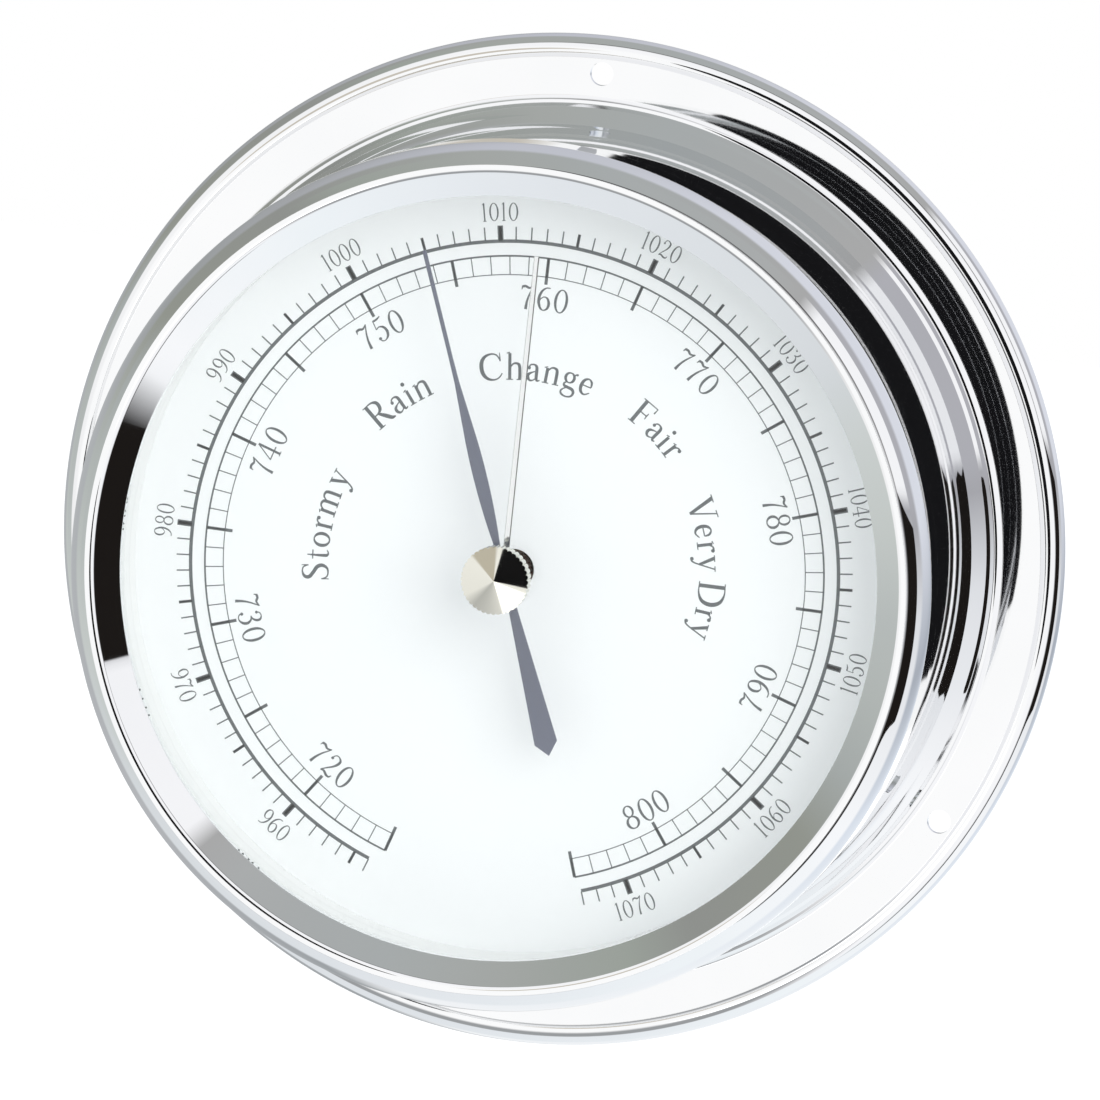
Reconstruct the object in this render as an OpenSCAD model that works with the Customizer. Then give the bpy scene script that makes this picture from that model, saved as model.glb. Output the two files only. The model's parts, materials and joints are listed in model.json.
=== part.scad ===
// Marine barometer in a flanged case, with an aneroid capsule movement.
// Each piece is drawn on the bench: x to the right of the dial, y up the dial, z out from the wall.
// in_row() then stands it up, so that the dial faces -Y and +Z is up.

/* [Case] */
// Width of the wall flange outside the barrel
flange_w = 13.7; // [12.5:0.1:20]
// Thickness of the spun brass sheet
sheet_t = 1.2; // [0.9:0.1:1.4]
// Radius of the rolled bead on the flange rim
bead_r = 1.6; // [1.3:0.05:1.9]
// Depth of the flat that the bead stands on
bead_flat = 0.15; // [0.1:0.05:0.3]
// Outside diameter of the barrel
barrel_d = 122.6; // [121.6:0.2:126]
// Width of the raised step around the barrel's foot
step_w = 3.6; // [2.5:0.1:4.5]
// Height of the raised step above the flange face
step_h = 2.3; // [1.5:0.1:3]
// Distance of the wall screw holes from the flange's edge
hole_inset = 5.5; // [5:0.1:7]
// Diameter of a wall screw hole
wall_hole_d = 3.5; // [3:0.1:4.5]
// Number of wall screws
wall_screws = 3; // [3:1:6]
// Turn of the screw circle from twelve o'clock
hole_turn = 1.3; // [-5:0.1:5]
// Width of the dial seat ring
seat_w = 3.1; // [2:0.1:5]
// Height of the dial seat ring
seat_h = 4; // [2:0.5:6]

/* [Back] */
// Thickness of the back cover
cover_t = 1; // [0.8:0.1:1.5]
// Height of the flat cover screw heads
cover_head_h = 0.9; // [0.6:0.1:1.2]
// Distance of the cover screw heads from the wall
wall_gap = 0.3; // [0.2:0.05:0.6]
// Height of the lugs that hold the cover screws
lug_h = 6; // [5:0.5:8]
// Width of a lug
lug_w = 8; // [7:0.5:12]
// Depth of a lug from the barrel wall
lug_d = 7.6; // [7:0.2:10]
// Diameter of the adjusting hole in the back cover
access_d = 4; // [3:0.5:6]
// Diameter of the vent hole in the back cover
vent_d = 2; // [1:0.5:4]

/* [Bezel and glass] */
// Thickness of the bezel's skirt
bezel_wall = 1.78; // [1.2:0.02:2.4]
// Width of the bezel's rounded shoulder
shoulder_w = 2.9; // [2.2:0.1:3.6]
// Width of the flat on the bezel's crown
crown_w = 1; // [0.6:0.1:1.6]
// Width of the bezel's lip, from the crown to the opening
lip_w = 3.7; // [3:0.1:5]
// Thickness of the bezel's lip at the opening
lip_t = 0.6; // [0.4:0.1:1]
// Height of the bezel's crown above its seat
bezel_rise = 3.9; // [3.5:0.1:4.5]
// Length of the bezel's skirt below its rounded shoulder
skirt_l = 5.8; // [4:0.2:8]
// Drop from the seat to the widest line of the shoulder
shoulder_drop = 1.1; // [0.8:0.1:1.6]
// Thickness of the glass gasket
gasket_t = 0.3; // [0.2:0.05:0.6]
// Thickness of the window glass
glass_t = 2; // [1.5:0.1:3]
// Height of the white ring between dial and glass
spacer_h = 9.4; // [9.2:0.1:11]
// Thickness of the white ring at the dial
spacer_wall = 3.8; // [2:0.1:4.2]
// Widening of the white ring towards the glass, on its radius
spacer_flare = 0.5; // [0:0.1:0.9]

/* [Dial and hands] */
// Thickness of the dial
dial_t = 0.8; // [0.5:0.1:1.2]
// Diameter of the hole in the dial
dial_hole_d = 6; // [5:0.5:9]
// Height of the main pointer above the dial
pointer_rise = 6.8; // [5:0.1:6.9]
// Length of the main pointer from its centre
pointer_l = 48.5; // [40:0.1:52]
// Length of the main pointer's tail
tail_l = 27; // [20:0.5:35]
// Length of the tail's pointed end
tail_point = 1.9; // [1:0.1:4]
// Width of the tail at its shoulders
tail_w = 3.36; // [2.4:0.02:5]
// Width of the tail where it leaves the hub
neck_w = 0.7; // [0.5:0.1:1.2]
// Greatest width of the main pointer's blade
blade_w = 1.98; // [1.4:0.02:3]
// Distance of the blade's widest place from the centre
blade_l = 15; // [13:0.5:18]
// Distance from the centre at which the blade has thinned to the needle
needle_l = 29.5; // [27:0.5:34]
// Width of the needle
needle_w = 0.58; // [0.4:0.02:0.8]
// Thickness of the main pointer
pointer_t = 0.35; // [0.25:0.05:0.45]
// Radius of the main pointer's hub
hub_r = 2; // [1.8:0.1:3]
// Pressure that the main pointer shows, in hectopascals
shown_pressure = 1005.6; // [960:0.1:1065]
// Length of the reference hand from its centre
set_l = 46.6; // [38:0.1:50]
// Width of the reference hand at its hub
set_w = 0.95; // [0.6:0.05:1.4]
// Width of the reference hand at its tip
set_tip_w = 0.78; // [0.4:0.02:1]
// Thickness of the reference hand
set_t = 0.25; // [0.2:0.05:0.3]
// Height of the reference hand's hub
set_hub_h = 0.85; // [0.6:0.05:0.9]
// Turn of the reference hand to the left of twelve o'clock
set_turn = 0.5; // [-20:0.1:20]

/* [Set knob] */
// Diameter of the set knob over its serrations
knob_d = 9.5; // [8.5:0.1:13]
// Height of the set knob's side
knob_h = 2.7; // [2.2:0.1:2.9]
// Number of serrations
serrations = 40; // [24:1:60]
// Depth of a serration
serration_h = 0.3; // [0.15:0.05:0.45]
// Height of the low cone on the knob's face
cone_h = 0.65; // [0.3:0.05:0.7]
// Diameter of the set spindle
spindle_d = 2; // [1.6:0.1:2.6]
// Wall of the glass bush
bush_wall = 1.1; // [0.8:0.1:1.6]
// Width of the bush's flange and of its nut
bush_flange_w = 1.4; // [1:0.1:2]
// Thickness of the bush's flange
bush_flange_t = 0.5; // [0.4:0.05:0.8]
// Thickness of the bush's nut
nut_t = 0.5; // [0.4:0.05:0.6]

/* [Movement frame] */
// Distance of the outermost screws from the edge of a movement plate
plate_margin = 4.5; // [3.5:0.1:8]
// Thickness of the movement plates
plate_t = 1.4; // [1:0.1:2]
// Length of the dial feet
foot_l = 4; // [2.5:0.1:6]
// Diameter of a dial foot
foot_d = 6; // [5:0.1:7]
// Diameter of a pillar
pillar_d = 5; // [4.6:0.1:6.4]
// Distance of the base pillars from the edge of the base plate
base_margin = 6.5; // [3.5:0.1:12]
// Thickness of the base plate
base_t = 1.6; // [1.2:0.1:2.2]
// Space between the back cover and the base plate
base_gap = 2.4; // [2:0.1:4]
// Radius of the screw circle of the upper pillars
pillar_ring_r = 32; // [31:0.5:36]
// Radius of the screw circle of the base pillars
base_ring_r = 33.5; // [32:0.5:36]
// Radius of the screw circle of the dial feet
foot_ring_r = 33; // [31:0.5:36]

/* [Screws] */
// Diameter of the movement screws
screw_d = 2.2; // [1.8:0.1:2.4]
// Width of the ledge under a screw head, on its radius
head_w = 0.9; // [0.6:0.1:1.2]
// Height of the movement screw heads
head_h = 1.2; // [0.8:0.1:1.3]
// Width and depth of the slot in a screw head
slot = 0.5; // [0.3:0.05:0.6]
// Depth that a screw enters a pillar or a lug
screw_bite = 3; // [2:0.1:3.4]

/* [Gears] */
// Module of the sector and its pinion
gear_module = 0.35; // [0.34:0.005:0.36]
// Teeth on the pinion
pinion_teeth = 16; // [15:1:18]
// Teeth on the full circle of the sector
sector_teeth = 144; // [140:1:148]
// Pressure angle of the teeth
pressure_angle = 22.5; // [20:0.5:25]
// Play between the flanks of the teeth
tooth_play = 0.06; // [0.04:0.01:0.1]
// Thickness of the sector
sector_t = 0.8; // [0.6:0.1:1]
// Width of the sector's rim and tail
rim_w = 2.2; // [1.6:0.1:3]
// Length of the pinion on either side of the sector
pinion_side = 0.8; // [0.5:0.1:1]
// Room between the pinion and the front plate
pinion_room = 1.6; // [1.4:0.1:3]
// Distance of the sector's arbor to the right of the centre
sector_x = 19; // [18:0.1:20]
// Distance of the sector's tail pin from its arbor
sector_tail = 5; // [4.6:0.1:5.4]

/* [Capsule and lever] */
// Diameter of the pressure capsule
capsule_d = 50; // [40:0.5:52]
// Height of the capsule from its rim to either centre
capsule_half_h = 1.9; // [1.6:0.1:2.1]
// Thickness of a capsule shell
shell_t = 0.3; // [0.2:0.05:0.4]
// Rings in the corrugation of a capsule shell
corrugations = 5; // [3:1:7]
// Depth of the corrugation
wave_h = 0.35; // [0.2:0.05:0.5]
// Length of the stud on top of the capsule
stud_l = 4.1; // [3.6:0.1:6]
// Diameter of the rocking shaft
shaft_d = 2.6; // [2.2:0.1:3]
// Length of the rocking shaft beyond the long arm
shaft_room = 1.3; // [1:0.1:3]
// Offset of the rocking shaft from the centre, which is the short arm's reach
short_reach = 3.5; // [3.2:0.1:4]
// Drop of the rocking shaft below the rear plate
shaft_drop = 6; // [5.5:0.1:6.5]
// Height of the link above the rear plate
link_rise = 2.6; // [2.4:0.1:2.8]
// Diameter of the link's wire
link_d = 0.9; // [0.6:0.1:1]
// Clearance of the open eye around the sector's tail pin
open_eye_gap = 0.45; // [0.4:0.05:0.6]
// Thickness of the adjusting strip under the capsule
strip_t = 1; // [0.8:0.1:1.3]
// Width of the adjusting strip
strip_w = 10; // [9:0.5:12]
// Distance of the calibration screw from the centre
calibration_r = 26; // [25:0.5:27]

/* [Fits] */
// Clearance on the radius of a running fit
running = 0.03; // [0.02:0.005:0.05]
// Clearance on the radius of parts that are pushed or screwed together
seating = 0.02; // [0.01:0.005:0.04]
// Clearance on the radius of parts that drop into the case
drop_in = 0.3; // [0.2:0.05:0.5]
// Clearance on the radius around a screw
screw_clear = 0.15; // [0.1:0.05:0.25]
// Gap between ends that bear on each other lightly
touch = 0.1; // [0.06:0.01:0.15]

/* [Hidden] */
$fn = 96;

// How far a cutter stands out of what it cuts
over = 1;

// Screws: radii, and the radii of the holes that let them through or hold them
screw_r = screw_d / 2;
hole_r = screw_r + screw_clear;
tapped_r = screw_r + seating;
head_r = screw_r + head_w;
screw_short = 0.2;
// Walls of small hubs, ledge of the glass gasket, roof over the knob's bore, and the land round its face
hub_wall = 1;
hub_bite = 0.7;
gasket_inset = 1;
knob_roof = 0.6;
face_land = 0.1;
// Head of the sector's rivet, room beside the long arm in its slot, and place of the brackets' screws
rivet_w = 0.6;
arm_room = 2;
bracket_screw_off = 3;
pillar_angles = [90, 210, 330];
base_angles = [30, 150, 270];
foot_angles = [30, 150, 270];
lug_angles = [30, 150, 270];

// Radii of the case, and of what stands in it
barrel_r = barrel_d / 2;
flange_r = barrel_r + flange_w;
wall_hole_ring_r = flange_r - hole_inset;
barrel_ri = barrel_r - sheet_t;
step_r = barrel_r + step_w;
inside_r = barrel_ri - drop_in;
lug_r = barrel_ri - lug_d / 2;
plate_r = max(pillar_ring_r, base_ring_r, foot_ring_r) + plate_margin;
base_r = base_ring_r + base_margin;

// Radii of the bezel, from its skirt inwards
skirt_ri = barrel_r + seating;
bezel_r = skirt_ri + bezel_wall;
crown_ro = bezel_r - shoulder_w;
crown_ri = crown_ro - crown_w;
lip_r = crown_ri - lip_w;
gasket_ri = lip_r + gasket_inset;

// Heights of the back of the case, from the wall outwards
web_z = bead_r - bead_flat;
web_top = web_z + sheet_t;
cover_z = wall_gap + cover_head_h;
cover_top = cover_z + cover_t;
base_z = cover_top + base_gap;
base_top = base_z + base_t;

// The capsule on its strip
packing_t = 0.6;
strip_z = base_top + packing_t;
strip_top = strip_z + strip_t;
boss_h = 1.2;
boss_r = 4.2;
capsule_rim_w = 1.6;
capsule_r = capsule_d / 2;
rim_z = strip_top + boss_h + capsule_half_h;
capsule_top = rim_z + capsule_half_h;
strip_end = 3;
strip_screw_r = [27, 32];

// The lever above the capsule
short_arm_under = 0.4;
short_arm_w = 3;
short_arm_t = 0.8;
short_arm_over = 1.2;
stud_top = capsule_top + stud_l;
shaft_z = stud_top + touch + short_arm_under;
shaft_r = shaft_d / 2;
shaft_hub_r = shaft_r + hub_wall;
shaft_pivot_r = 0.6;
shaft_pivot_l = 1.1;
shaft_bore_l = 1.4;

// The plates and the gear train between them
rear_z = shaft_z + shaft_drop;
rear_top = rear_z + plate_t;
link_z = rear_top + link_rise;
link_gap = 2;
sector_z = link_z + link_gap;
pinion_z = sector_z - pinion_side;
pinion_l = sector_t + 2 * pinion_side;
front_z = pinion_z + pinion_l + pinion_room;
front_top = front_z + plate_t;
base_pillar_l = rear_z - base_top;
pillar_l = front_z - rear_top;
long_reach = link_z - shaft_z;

// The dial, the glass and the bezel
dial_z = front_top + foot_l;
dial_face = dial_z + dial_t;
glass_z = dial_face + spacer_h;
glass_top = glass_z + glass_t;
ledge_z = glass_top + gasket_t;
crown_z = ledge_z + bezel_rise;
barrel_top = ledge_z - drop_in;
shoulder_z = ledge_z - shoulder_drop;
skirt_z = shoulder_z - skirt_l;

// The hands, and the set knob on its spindle in the glass
pointer_z = dial_face + pointer_rise;
hub_under = 0.9;
arbor_over = 0.1;
bush_z = glass_z - nut_t;
set_z = bush_z - touch - set_hub_h - set_t;
spindle_r = spindle_d / 2;
spindle_under = 0.1;
set_hub_r = spindle_r + hub_wall;
bush_r = spindle_r + running + bush_wall;
bush_flange_r = bush_r + bush_flange_w;
knob_r = knob_d / 2;
knob_z = glass_top + bush_flange_t + touch;
knob_top = knob_z + knob_h;
face_r = knob_r - serration_h - face_land;
knob_bore_l = knob_h - knob_roof;

// Dial scale: degrees of pointer turn for one hectopascal, and the reading at twelve o'clock
scale_step = 2.7;
top_pressure = 1013.25;
lowest_pressure = 954;
highest_pressure = 1073;
pointer_turn = (top_pressure - shown_pressure) * scale_step;

// Gear sizes
pinion_r = gear_module * pinion_teeth / 2;
sector_r = gear_module * sector_teeth / 2;
centres = pinion_r + sector_r;
addendum = 0.9 * gear_module;
dedendum = 1.15 * gear_module;
sector_y = -sqrt(centres * centres - sector_x * sector_x);
mesh_angle = atan2(-sector_y, -sector_x);
gear_ratio = sector_teeth / pinion_teeth;
travel_up = (highest_pressure - shown_pressure) * scale_step / gear_ratio;
travel_down = (shown_pressure - lowest_pressure) * scale_step / gear_ratio;
tooth_pitch = 360 / sector_teeth;
spare_teeth = 3;
first_tooth = -ceil(travel_up / tooth_pitch) - spare_teeth;
last_tooth = ceil(travel_down / tooth_pitch) + spare_teeth;
flank_steps = 5;

// Arbors, hubs and pins
arbor_r = 0.9;
pivot_r = 0.5;
pivot_short = 0.2;
arbor_bush_r = arbor_r + running + hub_wall;
sector_arbor_r = 1;
sector_hub_r = 2.6;
sector_hub_h = 1;
rivet_r = sector_arbor_r + rivet_w;
rivet_h = 0.3;
pin_r = 0.4;
tail_pin_r = 0.5;
pin_over = 0.8;

// The link and the long arm beside it
link_x = sector_x - sector_tail;
eye_w = 0.8;
arm_eye_r = 1.1;
pin_eye_r = tail_pin_r + open_eye_gap + link_d;
arm_gap = 0.3;
arm_x = link_x + eye_w / 2 + arm_gap;
arm_t = 1;
arm_w = 2.4;
arm_hub_l = 2;
slot_half_w = arm_w / 2 + arm_room;
slot_side = 0.5;

// The brackets that carry the rocking shaft
shaft_half_l = arm_x + arm_hub_l + shaft_room;
bracket_x = shaft_half_l + touch;
bracket_w = 6;
bracket_t = 1.6;
bracket_under = 1.6;
bracket_foot_l = 7;
bracket_foot_t = 1.4;
bracket_screw_x = bracket_x + bracket_t + bracket_screw_off;

// The hairspring, its collet and its stud
collet_h = 1.4;
collet_gap = 0.7;
collet_r = 1.9;
coil_t = 0.2;
coil_h = 0.6;
coil_ri = collet_r + seating + coil_t / 2;
coil_ro = 8.8;
coil_turns = 5;
coil_steps = 20;
coil_end = 200;
coil_z = rear_top + collet_gap + (collet_h - coil_h) / 2;
coil_stud_r = 0.6;
coil_stud_ring_r = coil_ro + coil_t / 2 + coil_stud_r;
coil_stud_over = 0.4;

// Stands a bench drawing up in the row: out from the wall is -Y, up the dial is +Z.
// The row's origin is the centre of the screw circle on the flange's back face.
module in_row() {
    rotate([90, 0, 0]) translate([0, 0, -web_z]) children();
}

// Copies its children around the centre at one radius
module around(radius, angles) {
    for (a = angles)
        rotate([0, 0, a]) translate([radius, 0, 0]) children();
}

// A tube or washer standing on height z
module ring(outer, inner, z, h) {
    translate([0, 0, z]) linear_extrude(height = h) difference() {
        circle(r = outer);
        circle(r = inner);
    }
}

// A cutter for a hole through a sheet that stands on height z
module through(radius, z, sheet) {
    translate([0, 0, z - over]) cylinder(r = radius, h = sheet + 2 * over);
}

// Turns its children's height along +X, which is the way of the rocking shaft
module along_x() {
    rotate([0, 90, 0]) children();
}

// A slotted screw whose head stands on height 0 and whose shank points down
module cheese_screw(length, head_height) {
    difference() {
        union() {
            translate([0, 0, -length]) cylinder(r = screw_r, h = length);
            cylinder(r = head_r, h = head_height);
        }
        translate([-head_r - 1, -slot / 2, head_height - slot]) cube([2 * head_r + 2, slot, slot + 1]);
    }
}

// The same screw, driven from the back
module screw_from_back(length, head_height) {
    rotate([180, 0, 0]) cheese_screw(length, head_height);
}

// A point given by its radius and its angle
function polar(r, a) = [r * cos(a), r * sin(a)];

// Half section of the case: bead, flange web, step and barrel wall
module case_section() {
    edge = 0.4;
    land = 0.9;
    fillet = 0.2;
    intersection() {
        union() {
            translate([flange_r - bead_r, web_z]) circle(r = bead_r);
            translate([barrel_ri, web_z]) square([flange_r - bead_r - barrel_ri, sheet_t]);
            polygon([
                [barrel_ri, web_z],
                [step_r, web_z],
                [step_r, web_top + edge],
                [step_r - edge, web_top + 2 * edge],
                [barrel_r + land + fillet, web_top + step_h - fillet],
                [barrel_r + land, web_top + step_h],
                [barrel_ri, web_top + step_h]
            ]);
            translate([barrel_ri, web_z]) square([sheet_t, barrel_top - web_z]);
        }
        square([flange_r + 1, barrel_top + 1]);
    }
}

// Lugs inside the barrel, which the back cover is screwed to
module cover_lugs() {
    for (a = lug_angles)
        rotate([0, 0, a]) translate([0, 0, cover_top]) linear_extrude(height = lug_h) intersection() {
            circle(r = barrel_r - sheet_t / 2);
            translate([barrel_ri - lug_d, -lug_w / 2]) square([lug_d + sheet_t, lug_w]);
        }
}

module case_shell() {
    hole_angles = [for (i = [0:wall_screws - 1]) 90 + hole_turn + i * 360 / wall_screws];
    color("gainsboro") in_row() difference() {
        union() {
            rotate_extrude() case_section();
            cover_lugs();
        }
        around(wall_hole_ring_r, hole_angles)
            translate([0, 0, -1]) cylinder(d = wall_hole_d, h = web_top + 2);
        around(lug_r, lug_angles) translate([0, 0, cover_top - 1]) cylinder(r = tapped_r, h = screw_bite + 2);
    }
}

module dial_seat_ring() {
    outer = barrel_ri - seating;
    color("goldenrod") in_row() ring(outer, outer - seat_w, dial_z - seat_h, seat_h);
}

module back_cover() {
    color("darkgray") in_row() difference() {
        translate([0, 0, cover_z]) cylinder(r = inside_r, h = cover_t);
        around(lug_r, lug_angles) through(hole_r, cover_z, cover_t);
        translate([calibration_r, 0]) through(access_d / 2, cover_z, cover_t);
        translate([-calibration_r, 0]) through(vent_d / 2, cover_z, cover_t);
    }
}

module back_cover_screws() {
    color("silver") in_row() around(lug_r, lug_angles)
        translate([0, 0, cover_z]) screw_from_back(cover_t + screw_bite, cover_head_h);
}

// Half section of the bezel: skirt, rounded shoulder, flat crown and sloping lip
module bezel_section() {
    rise = crown_z - shoulder_z;
    roll_r = (shoulder_w * shoulder_w + rise * rise) / (2 * shoulder_w);
    intersection() {
        polygon([
            [skirt_ri, skirt_z],
            [bezel_r, skirt_z],
            [bezel_r, crown_z],
            [crown_ri, crown_z],
            [lip_r, ledge_z + lip_t],
            [lip_r, ledge_z],
            [skirt_ri, ledge_z]
        ]);
        union() {
            translate([bezel_r - roll_r, shoulder_z]) circle(r = roll_r);
            translate([skirt_ri - 1, skirt_z - 1]) square([bezel_wall + 1, shoulder_z - skirt_z + 1]);
            translate([lip_r - 1, ledge_z - 1]) square([crown_ro - lip_r + 1, crown_z - ledge_z + 2]);
        }
    }
}

module bezel_ring() {
    color("gainsboro") in_row() rotate_extrude() bezel_section();
}

module glass_gasket() {
    color("dimgray") in_row() ring(inside_r, gasket_ri, glass_top, gasket_t);
}

module window_glass() {
    color("aliceblue", 0.3) in_row() ring(inside_r, bush_r + seating, glass_z, glass_t);
}

module spacer_ring() {
    inner = inside_r - spacer_wall;
    color("white") in_row() rotate_extrude() polygon([
        [inner, dial_face],
        [inside_r, dial_face],
        [inside_r, glass_z],
        [inner + spacer_flare, glass_z]
    ]);
}

module glass_bush() {
    length = nut_t + glass_t + bush_flange_t;
    color("silver") in_row() difference() {
        union() {
            translate([0, 0, bush_z]) cylinder(r = bush_r, h = length);
            translate([0, 0, glass_top]) cylinder(r = bush_flange_r, h = bush_flange_t);
        }
        through(spindle_r + running, bush_z, length);
    }
}

module bush_nut() {
    color("silver") in_row() translate([0, 0, bush_z]) linear_extrude(height = nut_t) difference() {
        circle(r = bush_flange_r, $fn = 6);
        circle(r = bush_r + seating);
    }
}

module dial_plate() {
    color("white") in_row() ring(inside_r, dial_hole_d / 2, dial_z, dial_t);
}

module dial_feet() {
    color("goldenrod") in_row() around(foot_ring_r, foot_angles) difference() {
        translate([0, 0, front_top]) cylinder(d = foot_d, h = foot_l);
        translate([0, 0, front_top - 1]) cylinder(r = tapped_r, h = foot_l);
    }
}

module foot_screws() {
    color("silver") in_row() around(foot_ring_r, foot_angles)
        translate([0, 0, front_z]) screw_from_back(plate_t + foot_l - 1 - screw_short, head_h);
}

module front_plate() {
    color("gold") in_row() difference() {
        translate([0, 0, front_z]) cylinder(r = plate_r, h = plate_t);
        through(arbor_bush_r, front_z, plate_t);
        translate([sector_x, sector_y]) through(pivot_r + running, front_z, plate_t);
        around(pillar_ring_r, pillar_angles) through(hole_r, front_z, plate_t);
        around(foot_ring_r, foot_angles) through(hole_r, front_z, plate_t);
    }
}

module rear_plate() {
    color("gold") in_row() difference() {
        translate([0, 0, rear_z]) cylinder(r = plate_r, h = plate_t);
        through(pivot_r + running, rear_z, plate_t);
        translate([sector_x, sector_y]) through(pivot_r + running, rear_z, plate_t);
        around(pillar_ring_r, pillar_angles) through(hole_r, rear_z, plate_t);
        around(base_ring_r, base_angles) through(hole_r, rear_z, plate_t);
        for (side = [-1, 1])
            translate([side * bracket_screw_x, short_reach]) through(tapped_r, rear_z, plate_t);
        translate([arm_x - slot_side, short_reach - slot_half_w, rear_z - 1])
            cube([arm_t + 2 * slot_side, 2 * slot_half_w, plate_t + 2]);
        around(coil_stud_ring_r, [coil_end]) through(coil_stud_r + seating, rear_z, plate_t);
    }
}

module plate_pillars() {
    color("goldenrod") in_row() around(pillar_ring_r, pillar_angles)
        ring(pillar_d / 2, tapped_r, rear_top, pillar_l);
}

module plate_screws() {
    color("silver") in_row() around(pillar_ring_r, pillar_angles) {
        translate([0, 0, front_top]) cheese_screw(plate_t + screw_bite, head_h);
        translate([0, 0, rear_z]) screw_from_back(plate_t + screw_bite, head_h);
    }
}

module base_plate() {
    color("gold") in_row() difference() {
        translate([0, 0, base_z]) cylinder(r = base_r, h = base_t);
        translate([calibration_r, 0]) through(screw_r + running, base_z, base_t);
        around(base_ring_r, base_angles) through(hole_r, base_z, base_t);
        for (r = strip_screw_r) translate([-r, 0]) through(tapped_r, base_z, base_t);
    }
}

module base_pillars() {
    color("goldenrod") in_row() around(base_ring_r, base_angles)
        ring(pillar_d / 2, tapped_r, base_top, base_pillar_l);
}

module base_screws() {
    color("silver") in_row() around(base_ring_r, base_angles) {
        translate([0, 0, rear_top]) cheese_screw(plate_t + screw_bite, head_h);
        translate([0, 0, base_z]) screw_from_back(base_t + screw_bite, head_h);
    }
}

// One bracket, to the right of the shaft: an upright with a foot under the rear plate
module bracket() {
    upright = shaft_drop + shaft_r + bracket_under;
    difference() {
        union() {
            translate([bracket_x, short_reach - bracket_w / 2, rear_z - upright])
                cube([bracket_t, bracket_w, upright]);
            translate([bracket_x, short_reach - bracket_w / 2, rear_z - bracket_foot_t])
                cube([bracket_foot_l, bracket_w, bracket_foot_t]);
        }
        translate([bracket_x, short_reach, shaft_z]) along_x() through(tapped_r, 0, bracket_t);
        translate([bracket_screw_x, short_reach]) through(hole_r, rear_z - bracket_foot_t, bracket_foot_t);
    }
}

module lever_brackets() {
    color("goldenrod") in_row() {
        bracket();
        mirror([1, 0, 0]) bracket();
    }
}

module bracket_screws() {
    color("silver") in_row() for (side = [-1, 1])
        translate([side * bracket_screw_x, short_reach, rear_z - bracket_foot_t])
            screw_from_back(bracket_foot_t + plate_t - screw_short, head_h);
}

// One pivot screw, to the right of the shaft, with a turned pivot on its tip
module pivot_screw() {
    pivot_l = touch + shaft_pivot_l;
    translate([bracket_x + bracket_t, short_reach, shaft_z]) along_x() {
        cheese_screw(bracket_t, head_h);
        translate([0, 0, -bracket_t - pivot_l]) cylinder(r = shaft_pivot_r, h = pivot_l + 0.1);
    }
}

module pivot_screws() {
    color("silver") in_row() {
        pivot_screw();
        mirror([1, 0, 0]) pivot_screw();
    }
}

module adjusting_strip() {
    left = -strip_screw_r[1] - strip_end;
    right = calibration_r + strip_end;
    color("lightsteelblue") in_row() difference() {
        translate([left, -strip_w / 2, strip_z]) cube([right - left, strip_w, strip_t]);
        for (r = strip_screw_r) translate([-r, 0]) through(hole_r, strip_z, strip_t);
    }
}

module strip_packing() {
    length = strip_screw_r[1] - strip_screw_r[0] + 2 * strip_end;
    color("goldenrod") in_row() difference() {
        translate([-strip_screw_r[1] - strip_end, -strip_w / 2, base_top]) cube([length, strip_w, packing_t]);
        for (r = strip_screw_r) translate([-r, 0]) through(hole_r, base_top, packing_t);
    }
}

module strip_screws() {
    color("silver") in_row() for (r = strip_screw_r)
        translate([-r, 0, strip_top]) cheese_screw(strip_t + packing_t + base_t - screw_short, head_h);
}

// The head of this screw faces the adjusting hole, and its tip bears under the strip's free end
module calibration_screw() {
    color("silver") in_row() translate([calibration_r, 0, base_z - touch])
        screw_from_back(base_t + packing_t, head_h);
}

module capsule_base_boss() {
    color("goldenrod") in_row() translate([0, 0, strip_top]) cylinder(r = boss_r, h = boss_h);
}

// Half section of one capsule shell above the rim: a dome with rings pressed into it
module shell_section() {
    steps = 12 * corrugations;
    edge_r = capsule_r - capsule_rim_w;
    radii = [for (i = [0:steps]) boss_r + (edge_r - boss_r) * i / steps];
    inside = [for (i = [0:steps])
        (capsule_half_h - shell_t) * pow(cos(90 * i / steps), 2)
            + wave_h * (1 - cos(360 * corrugations * i / steps)) / 2];
    polygon(concat(
        [[0, capsule_half_h - shell_t]],
        [for (i = [0:steps]) [radii[i], inside[i]]],
        [[capsule_r, 0], [capsule_r, shell_t]],
        [for (i = [steps:-1:0]) [radii[i], inside[i] + shell_t]],
        [[0, capsule_half_h]]
    ));
}

module capsule_upper_shell() {
    color("peru") in_row() translate([0, 0, rim_z]) rotate_extrude() shell_section();
}

module capsule_lower_shell() {
    color("peru") in_row() translate([0, 0, rim_z]) mirror([0, 0, 1]) rotate_extrude() shell_section();
}

// A stepped pin with a fine point under the short arm
module capsule_stud() {
    foot_r = 2.4;
    foot_h = 0.8;
    stem_r = 1.1;
    point_r = 0.25;
    point_h = 1;
    color("goldenrod") in_row() rotate_extrude() polygon([
        [0, capsule_top],
        [foot_r, capsule_top],
        [foot_r, capsule_top + foot_h],
        [stem_r, capsule_top + foot_h + 0.4],
        [stem_r, stud_top - point_h],
        [point_r, stud_top],
        [0, stud_top]
    ]);
}

module rocking_shaft() {
    color("silver") in_row() translate([0, short_reach, shaft_z]) along_x() difference() {
        translate([0, 0, -shaft_half_l]) cylinder(r = shaft_r, h = 2 * shaft_half_l);
        for (side = [-1, 1])
            translate([0, 0, side * shaft_half_l - shaft_bore_l])
                cylinder(r = shaft_pivot_r + running, h = 2 * shaft_bore_l);
    }
}

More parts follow.
